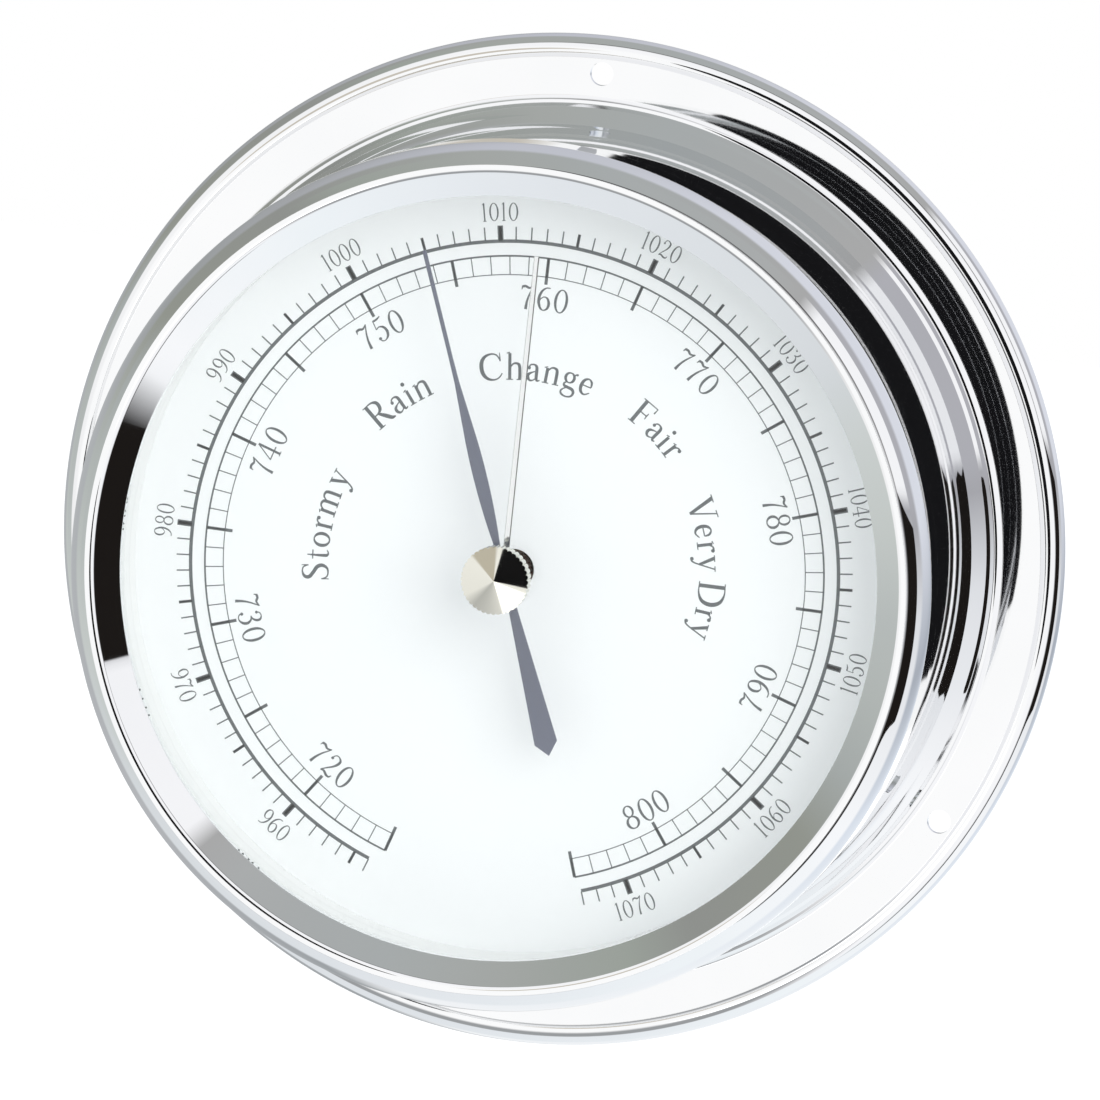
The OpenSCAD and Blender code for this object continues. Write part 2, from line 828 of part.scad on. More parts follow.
module short_arm() {
    hub_l = short_arm_w + 1;
    color("goldenrod") in_row() difference() {
        union() {
            translate([-hub_l / 2, short_reach, shaft_z]) along_x() cylinder(r = shaft_hub_r, h = hub_l);
            translate([-short_arm_w / 2, -short_arm_over, shaft_z - short_arm_under])
                cube([short_arm_w, short_reach + short_arm_over, short_arm_t]);
        }
        translate([-hub_l / 2, short_reach, shaft_z]) along_x() through(shaft_r + seating, 0, hub_l);
    }
}

module long_arm() {
    color("goldenrod") in_row() translate([arm_x, short_reach, shaft_z]) difference() {
        union() {
            along_x() cylinder(r = shaft_hub_r, h = arm_hub_l);
            translate([0, -arm_w / 2, 0]) cube([arm_t, arm_w, long_reach]);
            translate([0, 0, long_reach]) along_x() cylinder(r = arm_w / 2, h = arm_t);
        }
        along_x() through(shaft_r + seating, 0, arm_hub_l);
        translate([0, 0, long_reach]) along_x() through(pin_r + seating, 0, arm_t);
    }
}

module arm_pin() {
    left = link_x - eye_w / 2 - arm_gap;
    color("silver") in_row() translate([left, short_reach, link_z]) along_x()
        cylinder(r = pin_r, h = arm_x + arm_t - left);
}

// The link is a wire with an eye across it at the arm and a flat eye at the sector
module link_rod() {
    color("silver") in_row() difference() {
        union() {
            translate([link_x - eye_w / 2, short_reach, link_z]) along_x() cylinder(r = arm_eye_r, h = eye_w);
            translate([link_x, short_reach, link_z]) rotate([90, 0, 0])
                cylinder(d = link_d, h = short_reach - sector_y);
            translate([link_x, sector_y, link_z - eye_w / 2]) cylinder(r = pin_eye_r, h = eye_w);
        }
        translate([link_x - eye_w / 2, short_reach, link_z]) along_x() through(pin_r + running, 0, eye_w);
        translate([link_x, sector_y]) through(tail_pin_r + open_eye_gap, link_z - eye_w / 2, eye_w);
    }
}

// Involute of an angle, in degrees
function involute(angle) = tan(angle) * 180 / PI - angle;

// Half the angle that a tooth fills at radius r, on a gear of a given pitch radius
function half_tooth(r, pitch_r, teeth) = let (
        base_circle = pitch_r * cos(pressure_angle),
        at_r = r > base_circle ? acos(base_circle / r) : 0
    )
    90 / teeth - tooth_play / 4 / pitch_r * 180 / PI + involute(pressure_angle) - involute(at_r);

// Outline of one tooth centred on an angle, up one flank and down the other
function tooth(middle, pitch_r, teeth) = let (
        foot = pitch_r - dedendum,
        radii = [for (i = [0:flank_steps]) foot + (addendum + dedendum) * i / flank_steps]
    )
    concat(
        [for (i = [0:flank_steps]) polar(radii[i], middle - half_tooth(radii[i], pitch_r, teeth))],
        [for (i = [flank_steps:-1:0]) polar(radii[i], middle + half_tooth(radii[i], pitch_r, teeth))]
    );

// The toothed rim on its two spokes, drawn about the arbor with tooth 0 facing the pinion
module sector_fan() {
    spoke = 5;
    low = mesh_angle + (first_tooth - 0.5) * tooth_pitch;
    high = mesh_angle + (last_tooth + 0.5) * tooth_pitch;
    foot = sector_r - dedendum;
    window_r = foot - rim_w;
    difference() {
        polygon(concat(
            [[0, 0], polar(foot, low)],
            [for (k = [first_tooth:last_tooth])
                each tooth(mesh_angle + k * tooth_pitch, sector_r, sector_teeth)],
            [polar(foot, high)]
        ));
        intersection() {
            circle(r = window_r);
            polygon([
                polar(1.5 * rim_w, (low + high) / 2),
                polar(1.6 * window_r, low + spoke),
                polar(1.6 * window_r, high - spoke)
            ]);
        }
    }
}

module sector_gear() {
    color("gold") in_row() translate([sector_x, sector_y, sector_z]) linear_extrude(height = sector_t)
        difference() {
            union() {
                sector_fan();
                translate([-sector_tail, -rim_w / 2]) square([sector_tail, rim_w]);
                translate([-sector_tail, 0]) circle(r = rim_w / 2 + 0.2);
                circle(r = sector_hub_r);
            }
            circle(r = rivet_r + seating);
            translate([-sector_tail, 0]) circle(r = tail_pin_r + seating);
        }
}

// A stepped collar that the sector is riveted on
module sector_hub() {
    bore = sector_arbor_r + seating;
    color("goldenrod") in_row() translate([sector_x, sector_y, sector_z - sector_hub_h]) difference() {
        union() {
            cylinder(r = sector_hub_r, h = sector_hub_h);
            cylinder(r = rivet_r, h = sector_hub_h + sector_t + rivet_h);
        }
        through(bore, 0, sector_hub_h + sector_t + rivet_h);
    }
}

module sector_arbor() {
    color("silver") in_row() translate([sector_x, sector_y, 0]) {
        translate([0, 0, rear_top + touch]) cylinder(r = sector_arbor_r, h = pillar_l - 2 * touch);
        translate([0, 0, rear_z + pivot_short])
            cylinder(r = pivot_r, h = pillar_l + 2 * (plate_t - pivot_short));
    }
}

module sector_pin() {
    color("silver") in_row() translate([link_x, sector_y, link_z - pin_over])
        cylinder(r = tail_pin_r, h = pin_over + link_gap + sector_t);
}

module pointer_arbor() {
    arbor_z = rear_top + touch;
    color("silver") in_row() {
        translate([0, 0, rear_z + pivot_short]) cylinder(r = pivot_r, h = plate_t);
        translate([0, 0, arbor_z]) cylinder(r = arbor_r, h = pointer_z + pointer_t + arbor_over - arbor_z);
    }
}

module arbor_bush() {
    over = 0.6;
    color("goldenrod") in_row() ring(arbor_bush_r - seating, arbor_r + running, front_z, plate_t + over);
}

module pinion() {
    gap_angle = mesh_angle - 180;
    pitch = 360 / pinion_teeth;
    color("silver") in_row() translate([0, 0, pinion_z]) linear_extrude(height = pinion_l) difference() {
        polygon([for (k = [0:pinion_teeth - 1])
            each tooth(gap_angle + (k + 0.5) * pitch, pinion_r, pinion_teeth)]);
        circle(r = arbor_r + seating);
    }
}

module hairspring_collet() {
    color("goldenrod") in_row() ring(collet_r, arbor_r + seating, rear_top + collet_gap, collet_h);
}

// A flat spiral, from the collet out to the stud
module hairspring() {
    steps = coil_turns * coil_steps;
    radii = [for (i = [0:steps]) coil_ri + (coil_ro - coil_ri) * i / steps];
    angles = [for (i = [0:steps]) coil_end + (i - steps) * 360 / coil_steps];
    color("steelblue") in_row() translate([0, 0, coil_z]) linear_extrude(height = coil_h)
        polygon(concat(
            [for (i = [0:steps]) polar(radii[i] + coil_t / 2, angles[i])],
            [for (i = [steps:-1:0]) polar(radii[i] - coil_t / 2, angles[i])]
        ));
}

module hairspring_stud() {
    foot_z = rear_z + pivot_short;
    color("goldenrod") in_row() around(coil_stud_ring_r, [coil_end]) translate([0, 0, foot_z])
        cylinder(r = coil_stud_r, h = coil_z + coil_h + coil_stud_over - foot_z);
}

module pointer_hub() {
    color("slategray") in_row() difference() {
        union() {
            translate([0, 0, pointer_z - hub_under]) cylinder(r = hub_r, h = hub_under);
            translate([0, 0, pointer_z - hub_under])
                cylinder(r = hub_r - 0.7, h = hub_under + pointer_t + arbor_over);
        }
        through(arbor_r + seating, pointer_z - hub_under, hub_under + pointer_t + arbor_over);
    }
}

// Half width of the pointer's swelling blade at a distance from the centre
function blade_half(y) = blade_w / 2 * (1 - pow((y - blade_l) / (0.95 * blade_l), 2));

// A needle that swells into a blade, and a tail with a pointed end
module pointer_outline() {
    tip = 0.4;
    stations = [for (i = [1:8]) blade_l * i / 6];
    polygon(concat(
        [[-neck_w / 2, 0], [-tail_w / 2, tail_point - tail_l], [0, -tail_l]],
        [[tail_w / 2, tail_point - tail_l], [neck_w / 2, 0]],
        [for (y = stations) [max(blade_half(y), neck_w / 2), y]],
        [[needle_w / 2, needle_l], [needle_w / 2, pointer_l - tip], [0, pointer_l]],
        [[-needle_w / 2, pointer_l - tip], [-needle_w / 2, needle_l]],
        [for (i = [7:-1:0]) [-max(blade_half(stations[i]), neck_w / 2), stations[i]]]
    ));
}

module main_pointer() {
    color("slategray") in_row() rotate([0, 0, pointer_turn]) translate([0, 0, pointer_z])
        linear_extrude(height = pointer_t) difference() {
            union() {
                pointer_outline();
                circle(r = hub_r);
            }
            circle(r = hub_r - hub_bite + seating);
        }
}

module set_hand() {
    color("lightgray") in_row() rotate([0, 0, set_turn]) translate([0, 0, set_z])
        linear_extrude(height = set_t) difference() {
            union() {
                polygon([
                    [-set_w / 2, 0],
                    [set_w / 2, 0],
                    [set_tip_w / 2, set_l],
                    [-set_tip_w / 2, set_l]
                ]);
                circle(r = set_hub_r);
            }
            circle(r = spindle_r + seating);
        }
}

module set_hand_hub() {
    color("silver") in_row() ring(set_hub_r, spindle_r + seating, set_z + set_t, set_hub_h);
}

module set_spindle() {
    foot_z = set_z - spindle_under;
    color("silver") in_row() translate([0, 0, foot_z])
        cylinder(r = spindle_r, h = knob_z + knob_bore_l - foot_z);
}

// The knob: serrated round its side, with a low cone on its face
module set_knob() {
    color("silver") in_row() difference() {
        union() {
            translate([0, 0, knob_z]) linear_extrude(height = knob_h)
                polygon([for (i = [0:2 * serrations - 1])
                    polar(knob_r - (i % 2) * serration_h, i * 180 / serrations)]);
            translate([0, 0, knob_top]) cylinder(r1 = face_r, r2 = 0, h = cone_h);
        }
        translate([0, 0, knob_z - 1]) cylinder(r = spindle_r + seating, h = knob_bore_l + 1);
    }
}

case_shell();
dial_seat_ring();
back_cover();
back_cover_screws();
bezel_ring();
glass_gasket();
window_glass();
spacer_ring();
glass_bush();
bush_nut();
dial_plate();
dial_feet();
foot_screws();
front_plate();
rear_plate();
plate_pillars();
plate_screws();
base_plate();
base_pillars();
base_screws();
lever_brackets();
bracket_screws();
pivot_screws();
adjusting_strip();
strip_packing();
strip_screws();
calibration_screw();
capsule_base_boss();
capsule_lower_shell();
capsule_upper_shell();
capsule_stud();
rocking_shaft();
short_arm();
long_arm();
arm_pin();
link_rod();
sector_gear();
sector_hub();
sector_arbor();
sector_pin();
pointer_arbor();
arbor_bush();
pinion();
hairspring_collet();
hairspring();
hairspring_stud();
pointer_hub();
main_pointer();
set_hand();
set_hand_hub();
set_spindle();
set_knob();
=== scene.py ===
"""Looks of the marine barometer: its pieces, finishes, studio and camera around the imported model.

Pieces are drawn on the bench in millimetres: x to the right of the dial, y up the dial and z out
from the wall. BENCH_TO_ROW then stands them up in the row, in metres.
"""

import json
import logging
import math
from collections.abc import Iterator
from contextlib import contextmanager
from dataclasses import dataclass
from enum import Enum

import bmesh
import bpy
import numpy as np
from mathutils import Matrix, Vector
from mathutils.geometry import delaunay_2d_cdt


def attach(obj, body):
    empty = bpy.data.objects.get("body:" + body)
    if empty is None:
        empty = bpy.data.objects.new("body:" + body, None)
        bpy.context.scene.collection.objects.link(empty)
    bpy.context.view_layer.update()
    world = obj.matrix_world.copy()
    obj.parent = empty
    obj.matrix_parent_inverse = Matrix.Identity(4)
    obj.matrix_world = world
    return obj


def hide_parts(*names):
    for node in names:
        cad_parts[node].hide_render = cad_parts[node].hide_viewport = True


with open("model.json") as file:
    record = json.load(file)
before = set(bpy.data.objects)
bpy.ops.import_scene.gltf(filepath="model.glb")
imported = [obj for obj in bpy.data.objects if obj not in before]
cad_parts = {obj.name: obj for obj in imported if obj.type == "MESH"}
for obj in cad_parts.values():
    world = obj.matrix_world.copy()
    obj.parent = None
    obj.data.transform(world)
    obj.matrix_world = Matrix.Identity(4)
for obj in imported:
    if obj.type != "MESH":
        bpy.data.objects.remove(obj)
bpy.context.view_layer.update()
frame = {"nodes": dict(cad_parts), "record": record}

LOG = logging.getLogger("barometer")
MM = 0.001
BACK_FACE = 1.45  # height of the flange's back face above the wall, where the row has its origin
BENCH_TO_ROW = Matrix(((MM, 0, 0, 0), (0, 0, -MM, BACK_FACE * MM), (0, MM, 0, 0), (0, 0, 0, 1)))
Point = tuple[float, float]
Triple = tuple[float, float, float]
Colour = Triple
Stroke = list[Triple]
WHITE: Colour = (1.0, 1.0, 1.0)


def clock(angle: float, radius: float) -> Point:
    """Bench x and y of a point on the dial, its angle in degrees clockwise from twelve o'clock."""
    turn = math.radians(angle)
    return radius * math.sin(turn), radius * math.cos(turn)


def srgb(hex_colour: str) -> Colour:
    """A colour written in six hex digits, as linear values."""
    parts = [int(hex_colour[i:i + 2], 16) / 255 for i in (0, 2, 4)]
    return tuple(p / 12.92 if p <= 0.04045 else ((p + 0.055) / 1.055) ** 2.4 for p in parts)


def placed(name: str, data: bpy.types.ID) -> bpy.types.Object:
    """A new object in the scene.

    Args:
        name: its name.
        data: its mesh, lamp or camera.

    Returns:
        The object.
    """
    made = bpy.data.objects.new(name, data)
    bpy.context.scene.collection.objects.link(made)
    return made


def evaluated(carrier: bpy.types.Object) -> bpy.types.Mesh:
    """The plain mesh that an object's modifiers make. The object is removed.

    Args:
        carrier: an object with modifiers.

    Returns:
        The mesh.
    """
    bpy.context.view_layer.update()
    graph = bpy.context.evaluated_depsgraph_get()
    mesh = bpy.data.meshes.new_from_object(carrier.evaluated_get(graph), depsgraph=graph)
    bpy.data.objects.remove(carrier)
    return mesh


@contextmanager
def opened(mesh: bpy.types.Mesh) -> Iterator[bmesh.types.BMesh]:
    """Opens a mesh for editing, and writes it back.

    Args:
        mesh: the mesh.

    Yields:
        What is edited.
    """
    work = bmesh.new()
    work.from_mesh(mesh)
    yield work
    work.to_mesh(mesh)
    work.free()


def column(items: bpy.types.bpy_prop_collection, name: str, width: int = 1) -> np.ndarray:
    """One property of all of a mesh's items.

    Args:
        items: the items.
        name: the property's name.
        width: how many numbers it holds. One number alone is read as a whole number.

    Returns:
        A value, or a row of values, for each item.
    """
    found = np.zeros(len(items) * width, np.float32 if width > 1 else np.int32)
    items.foreach_get(name, found)
    return found.reshape(-1, width) if width > 1 else found


class Sock:
    """A node's output in an expression. Arithmetic on it adds Math nodes."""

    def __init__(self, weave: "Weave", socket: bpy.types.NodeSocket) -> None:
        """Wraps an output of one of the weave's nodes."""
        self.weave = weave
        self.socket = socket

    def of(self, name: str) -> "Sock":
        """Another output of the same node."""
        return Sock(self.weave, self.socket.node.outputs[name])

    def maths(self, operation: str, *others: "Sock | float") -> "Sock":
        """A Math node on this value and the others."""
        values = dict(enumerate((self, *others)))
        return self.weave.node("ShaderNodeMath", {"operation": operation}, values)

    def __add__(self, other: "Sock | float") -> "Sock":
        """self + other."""
        return self.maths("ADD", other)

    def __mul__(self, other: "Sock | float") -> "Sock":
        """self * other."""
        return self.maths("MULTIPLY", other)

    __radd__, __rmul__ = __add__, __mul__

    def __sub__(self, other: "Sock | float") -> "Sock":
        """self - other."""
        return self.maths("SUBTRACT", other)

    def __rsub__(self, other: float) -> "Sock":
        """other - self."""
        return self * -1 + other

    def __truediv__(self, other: "Sock | float") -> "Sock":
        """self / other."""
        return self.maths("DIVIDE", other)

    def __mod__(self, other: "Sock | float") -> "Sock":
        """self modulo other."""
        return self.maths("FLOORED_MODULO", other)

    def __pow__(self, other: "Sock | float") -> "Sock":
        """self to the power other."""
        return self.maths("POWER", other)

    def clamped(self) -> "Sock":
        """The value held between 0 and 1."""
        return self.maths("MINIMUM", 1.0).maths("MAXIMUM", 0.0)

    def past(self, level: "Sock | float", blend: float) -> "Sock":
        """0 below a level and 1 above it, blended across a stretch in the middle."""
        return ((self - level) / blend + 0.5).clamped()


class Weave:
    """Makes nodes in one node tree."""

    def __init__(self, tree: bpy.types.NodeTree) -> None:
        """Takes up a node tree."""
        self.tree = tree

    def node(self, kind: str, settings: dict | None = None, sockets: dict | None = None,
             out: int | str = 0) -> Sock | None:
        """Adds a node.

        Args:
            kind: the node's type name.
            settings: its settings, set first. A list under "stops" fills a colour ramp.
            sockets: values or links of its inputs, by name or number.
            out: the output to return.

        Returns:
            That output, or None for a node without outputs.
        """
        made = self.tree.nodes.new(kind)
        for name, value in (settings or {}).items():
            if name == "stops":
                while len(made.color_ramp.elements) < len(value):
                    made.color_ramp.elements.new(0.5)
                for element, (place, colour) in zip(made.color_ramp.elements, value):
                    element.position = place
                    element.color = (*colour, 1)
            else:
                setattr(made, name, value)
        for name, value in (sockets or {}).items():
            self.feed(made.inputs[name], value)
        return Sock(self, made.outputs[out]) if len(made.outputs) else None

    def feed(self, socket: bpy.types.NodeSocket, value: object) -> None:
        """Links an input, or sets its value.

        Args:
            socket: the input.
            value: what it gets. A colour of three numbers gets its alpha of 1 here.
        """
        if isinstance(value, Sock):
            self.tree.links.new(value.socket, socket)
        elif isinstance(value, tuple) and len(value) == 3 and len(socket.default_value) == 4:
            socket.default_value = (*value, 1)
        else:
            socket.default_value = value

    def mix(self, share: Sock, low: Sock | Colour, high: Sock | Colour) -> Sock:
        """A mix of two colours."""
        return self.node("ShaderNodeMix", {"data_type": "RGBA"}, {0: share, 6: low, 7: high}, 2)

    def layered(self, share: Sock, low: Sock, high: Sock) -> Sock:
        """A mix of two shaders."""
        return self.node("ShaderNodeMixShader", {}, {0: share, 1: low, 2: high})

    def rays(self, *kinds: str) -> Sock:
        """1 on the kinds of ray that are named, and 0 on all others.

        Args:
            kinds: outputs of the Light Path node.

        Returns:
            That value.
        """
        path = self.node("ShaderNodeLightPath")
        seen = path.of(kinds[0])
        for kind in kinds[1:]:
            seen = seen.maths("MAXIMUM", path.of(kind))
        return seen


def emptied(owner: bpy.types.Material | bpy.types.World) -> Weave:
    """A weave in the emptied node tree of a material or world.

    Args:
        owner: the material or world.

    Returns:
        The weave.
    """
    owner.use_nodes = True
    owner.node_tree.nodes.clear()
    return Weave(owner.node_tree)


@dataclass(frozen=True)
class Finish:
    """A surface between two colours. Its roughness starts at shine and rises by spread."""

    name: str
    low: Colour
    high: Colour
    shine: float = 0.0
    spread: float = 0.0

    def make(self) -> bpy.types.Material:
        """Makes the material.

        Returns:
            The material, with the finish's surface on its output.
        """
        material = bpy.data.materials.new(self.name)
        weave = emptied(material)
        surface = self.surface(weave, weave.node("ShaderNodeTexCoord", out="Object"))
        weave.node("ShaderNodeOutputMaterial", {}, {"Surface": surface})
        return material

    def noise(self, place: Sock, scale: float, detail: float = 3.0) -> Sock:
        """Noise on the Object coordinates, in waves per metre."""
        return place.weave.node("ShaderNodeTexNoise", {}, {"Vector": place, "Scale": scale, "Detail": detail})

    def body(self, share: Sock, rough: Sock, height: Sock, depth: float, others: dict) -> Sock:
        """The Principled shader of all but the glass.

        Args:
            share: how much of the high colour there is.
            rough: share of the spread in the roughness.
            height: height of the bumps, between 0 and 1.
            depth: their depth in metres.
            others: values of other inputs.

        Returns:
            The shader.
        """
        weave = share.weave
        values = {"Base Color": weave.mix(share, self.low, self.high),
                  "Roughness": rough * self.spread + self.shine, **others}
        if depth:
            bump = weave.node("ShaderNodeBump", {}, {"Strength": 1.0, "Distance": depth, "Height": height})
            values["Normal"] = bump
        return weave.node("ShaderNodeBsdfPrincipled", {}, values)


@dataclass(frozen=True)
class Metal(Finish):
    """A bare or plated metal with clouding, light handling marks and fine grain."""

    depth: float = 0.0
    cloud: float = 60.0
    grain: float = 4000.0

    def surface(self, weave: Weave, place: Sock) -> Sock:
        """Its shader."""
        cloud, grain = self.noise(place, self.cloud), self.noise(place, self.grain, 2.0)
        return self.body(cloud, cloud, grain, self.depth, {"Metallic": 1.0})


@dataclass(frozen=True)
class TurnedMetal(Finish):
    """A metal with concentric tool marks round the dial's axis."""

    pitch: float = 0.0004
    depth: float = 0.000002
    cloud: float = 90.0

    def surface(self, weave: Weave, place: Sock) -> Sock:
        """Its shader.

        Args:
            weave: the material's weave.
            place: the Object coordinates.

        Returns:
            The shader.
        """
        parts = weave.node("ShaderNodeSeparateXYZ", {}, {0: place})
        radius = (parts.of("X") ** 2.0 + parts.of("Z") ** 2.0) ** 0.5
        rings = (radius * (2 * math.pi / self.pitch)).maths("SINE") * 0.5 + 0.5
        cloud = self.noise(place, self.cloud)
        return self.body(rings * 0.5 + cloud * 0.5, cloud, rings, self.depth, {"Metallic": 1.0})


@dataclass(frozen=True)
class Coat(Finish):
    """Paint, lacquer, ink or rubber with a fine grain."""

    spread: float = 0.08
    cloud: float = 45.0
    grain: float = 3000.0
    depth: float = 0.000003
    gloss: float = 0.0

    def surface(self, weave: Weave, place: Sock) -> Sock:
        """Its shader."""
        cloud, grain = self.noise(place, self.cloud), self.noise(place, self.grain, 2.0)
        return self.body(cloud * 0.6 + grain * 0.4, grain, grain, self.depth, {"Coat Weight": self.gloss})


@dataclass(frozen=True)
class Pane(Finish):
    """Clear glass in a flat pane: it lets straight rays through and mirrors a share of the room."""

    straight: float = 0.04
    haze: float = 25.0

    def surface(self, weave: Weave, place: Sock) -> Sock:
        """Its shader, which mirrors more the flatter it is looked along, and a little less where it is hazy.

        Args:
            weave: the material's weave.
            place: the Object coordinates.

        Returns:
            The shader.
        """
        facing = weave.node("ShaderNodeLayerWeight", {}, {"Blend": 0.5}, "Facing")
        mirrored = facing ** 5.0 * (1 - self.straight) + self.straight
        clear = weave.node("ShaderNodeBsdfTransparent", {}, {"Color": self.low})
        gloss = weave.node("ShaderNodeBsdfAnisotropic", {}, {"Color": self.high, "Roughness": 0.0})
        return weave.layered(mirrored * (self.noise(place, self.haze) * 0.04 + 0.86), clear, gloss)


class Finishes(Enum):
    """The finishes of the instrument, by the record's slots where they are the same."""

    CHROME = Metal("mirror chrome", (0.88, 0.89, 0.90), (0.94, 0.94, 0.945), 0.015, 0.02)
    DIAL = Coat("dial enamel", (0.90, 0.915, 0.925), (0.94, 0.95, 0.955), 0.45)
    RING = Coat("white ring", (0.86, 0.87, 0.865), (0.91, 0.915, 0.91), 0.4)
    INK = Coat("printing ink", srgb("54595b"), srgb("5e6466"), 0.55, depth=0.0)
    GLASS = Pane("window glass", (0.985, 0.992, 0.992), WHITE)
    RUBBER = Coat("gasket rubber", (0.02, 0.02, 0.02), (0.035, 0.035, 0.035), 0.7)
    POINTER = Coat("pointer lacquer", srgb("545868"), srgb("64687a"), 0.35, gloss=0.3)
    HAND = Metal("polished hand", (0.86, 0.85, 0.85), (0.93, 0.92, 0.92), 0.05, 0.04)
    NICKEL = Metal("spun nickel", (0.78, 0.77, 0.69), (0.83, 0.82, 0.745), 0.03, 0.03)
    COVER = TurnedMetal("plated cover", (0.42, 0.43, 0.44), (0.52, 0.53, 0.54), 0.32, 0.12)
    SCREW = Metal("turned screws", (0.52, 0.52, 0.53), (0.66, 0.66, 0.66), 0.22, 0.1, 0.000002)
    BRASS = TurnedMetal("satin brass", (0.62, 0.43, 0.16), (0.78, 0.58, 0.27), 0.28, 0.14)
    # Brass darkened to near black: painted shade for the brass seen deep in the dial's hole, not a different
    # metal.
    BUSH = TurnedMetal("bronze in shade", (0.075, 0.036, 0.028), (0.12, 0.06, 0.045), 0.22, 0.1)
    ARBOR = Metal("ground steel", (0.45, 0.46, 0.48), (0.62, 0.63, 0.65), 0.18, 0.12, 0.000002)
    SPRING = Metal("blued spring", (0.04, 0.07, 0.18), (0.08, 0.12, 0.28), 0.2, 0.12)
    CAPSULE = TurnedMetal("capsule alloy", (0.55, 0.31, 0.17), (0.72, 0.45, 0.27), 0.3, 0.12)
    POLISHED = Metal("polished steel", (0.66, 0.66, 0.66), (0.8, 0.8, 0.8), 0.12, 0.06)


class Dresser:
    """Keeps one material for each finish, and dresses the carried-over nodes by their slots."""

    by_slot = {
        "chrome": Finishes.CHROME, "dial_white": Finishes.DIAL, "ring_white": Finishes.RING,
        "glass": Finishes.GLASS, "gasket": Finishes.RUBBER, "pointer_grey": Finishes.POINTER,
        "polished_steel": Finishes.POLISHED, "cover_steel": Finishes.COVER, "screw_steel": Finishes.SCREW,
        "brass": Finishes.BRASS, "arbor_steel": Finishes.ARBOR, "spring_steel": Finishes.SPRING,
        "capsule_alloy": Finishes.CAPSULE,
    }
    # These two brass nodes get brass with painted shade, for the shade inside the dial's hole.
    by_node = {"front_plate": Finishes.BUSH, "arbor_bush": Finishes.BUSH}

    def __init__(self) -> None:
        """Makes the material of every finish."""
        self.made = {finish: finish.value.make() for finish in Finishes}

    def dress(self, mesh: bpy.types.Mesh, finish: Finishes) -> None:
        """Gives a mesh the material of a finish."""
        mesh.materials.clear()
        mesh.materials.append(self.made[finish])

    def dress_nodes(self) -> None:
        """Gives every carried-over node the material of its slot; front_plate and arbor_bush get brass with
        painted shade instead.
        """
        slots = {part["node"]: part["material_slot"] for part in frame["record"]["subparts"]}
        for name, node in frame["nodes"].items():
            self.dress(node.data, self.by_node.get(name, self.by_slot[slots[name]]))


class GeometryTree(Weave):
    """A Geometry Nodes tree with named inputs, which ends in Realize Instances and Set Material."""

    def __init__(self, name: str, inputs: dict[str, str]) -> None:
        """Makes the tree's inputs and output.

        Args:
            name: the tree's name.
            inputs: the kind of each input by its name, besides the geometry and the material.
        """
        super().__init__(bpy.data.node_groups.new(name, "GeometryNodeTree"))
        face = self.tree.interface
        face.new_socket(name="Geometry", in_out="OUTPUT", socket_type="NodeSocketGeometry")
        kinds = {"Geometry": "Geometry", **inputs, "Material": "Material"}
        self.names = {
            name: face.new_socket(name=name, in_out="INPUT", socket_type="NodeSocket" + kind).identifier
            for name, kind in kinds.items()
        }
        self.entry = self.node("NodeGroupInput")

    def value(self, name: str) -> Sock:
        """One of the tree's inputs."""
        return self.entry.of(name)

    def close(self, geometry: Sock) -> None:
        """Ends the tree.

        Args:
            geometry: what it has made.
        """
        whole = self.node("GeometryNodeRealizeInstances", {}, {0: geometry})
        values = {"Geometry": whole, "Material": self.value("Material")}
        self.node("NodeGroupOutput", {}, {0: self.node("GeometryNodeSetMaterial", {}, values)})

    def bake(self, name: str, seed: bpy.types.Mesh, values: dict[str, object]) -> bpy.types.Mesh:
        """Runs the tree once.

        Args:
            name: name of the mesh made.
            seed: the mesh that goes into the tree.
            values: values of the tree's inputs.

        Returns:
            The plain mesh.
        """
        carrier = placed(name + "-seed", seed)
        modifier = carrier.modifiers.new(name, "NODES")
        modifier.node_group = self.tree
        for key, value in values.items():
            modifier[self.names[key]] = value
        mesh = evaluated(carrier)
        mesh.name = name
        return mesh


class TurningTree(GeometryTree):
    """Turns a profile, whose points hold radius and height, round the bench's z axis."""

    def __init__(self) -> None:
        """Bends a grid, a column of it for each flat, to the profile's points."""
        super().__init__("turned body", {"Segments": "Int", "Seam": "Float"})
        drawn, segments = self.value("Geometry"), self.value("Segments")
        count = self.node("GeometryNodeAttributeDomainSize", {"component": "MESH"}, {0: drawn})
        grid = self.node("GeometryNodeMeshGrid", {}, {"Vertices X": segments + 1, "Vertices Y": count})
        index, position = self.node("GeometryNodeInputIndex"), self.node("GeometryNodeInputPosition")
        sample = self.node("GeometryNodeSampleIndex", {"data_type": "FLOAT_VECTOR", "domain": "POINT"}, {
            "Geometry": drawn, "Value": position, "Index": index % count})
        profile = self.node("ShaderNodeSeparateXYZ", {}, {0: sample})
        turn = (index / count).maths("FLOOR") * (2 * math.pi) / segments
        radius = profile.of("X")
        place = self.node("ShaderNodeCombineXYZ", {}, {
            "X": radius * turn.maths("COSINE"), "Y": radius * turn.maths("SINE"), "Z": profile.of("Y")})
        moved = self.node("GeometryNodeSetPosition", {}, {"Geometry": grid, "Position": place})
        self.close(self.node("GeometryNodeMergeByDistance", {}, {
            "Geometry": moved, "Distance": self.value("Seam")}))


class RoundTree(GeometryTree):
    """Sets copies of a small body round the bench's z axis, first at twelve o'clock and on clockwise."""

    def __init__(self) -> None:
        """Sets turned instances on points that all lie in the centre."""
        super().__init__("copies round the centre", {"Count": "Int", "First": "Float", "Step": "Float"})
        line = self.node("GeometryNodeMeshLine", {}, {
            "Count": self.value("Count"), "Offset": (0.0, 0.0, 0.0)})
        index = self.node("GeometryNodeInputIndex")
        angle = (self.value("First") + index * self.value("Step")) * -1
        turned = self.node("ShaderNodeCombineXYZ", {}, {"Z": angle})
        self.close(self.node("GeometryNodeInstanceOnPoints", {}, {
            "Points": line, "Instance": self.value("Geometry"), "Rotation": turned}))


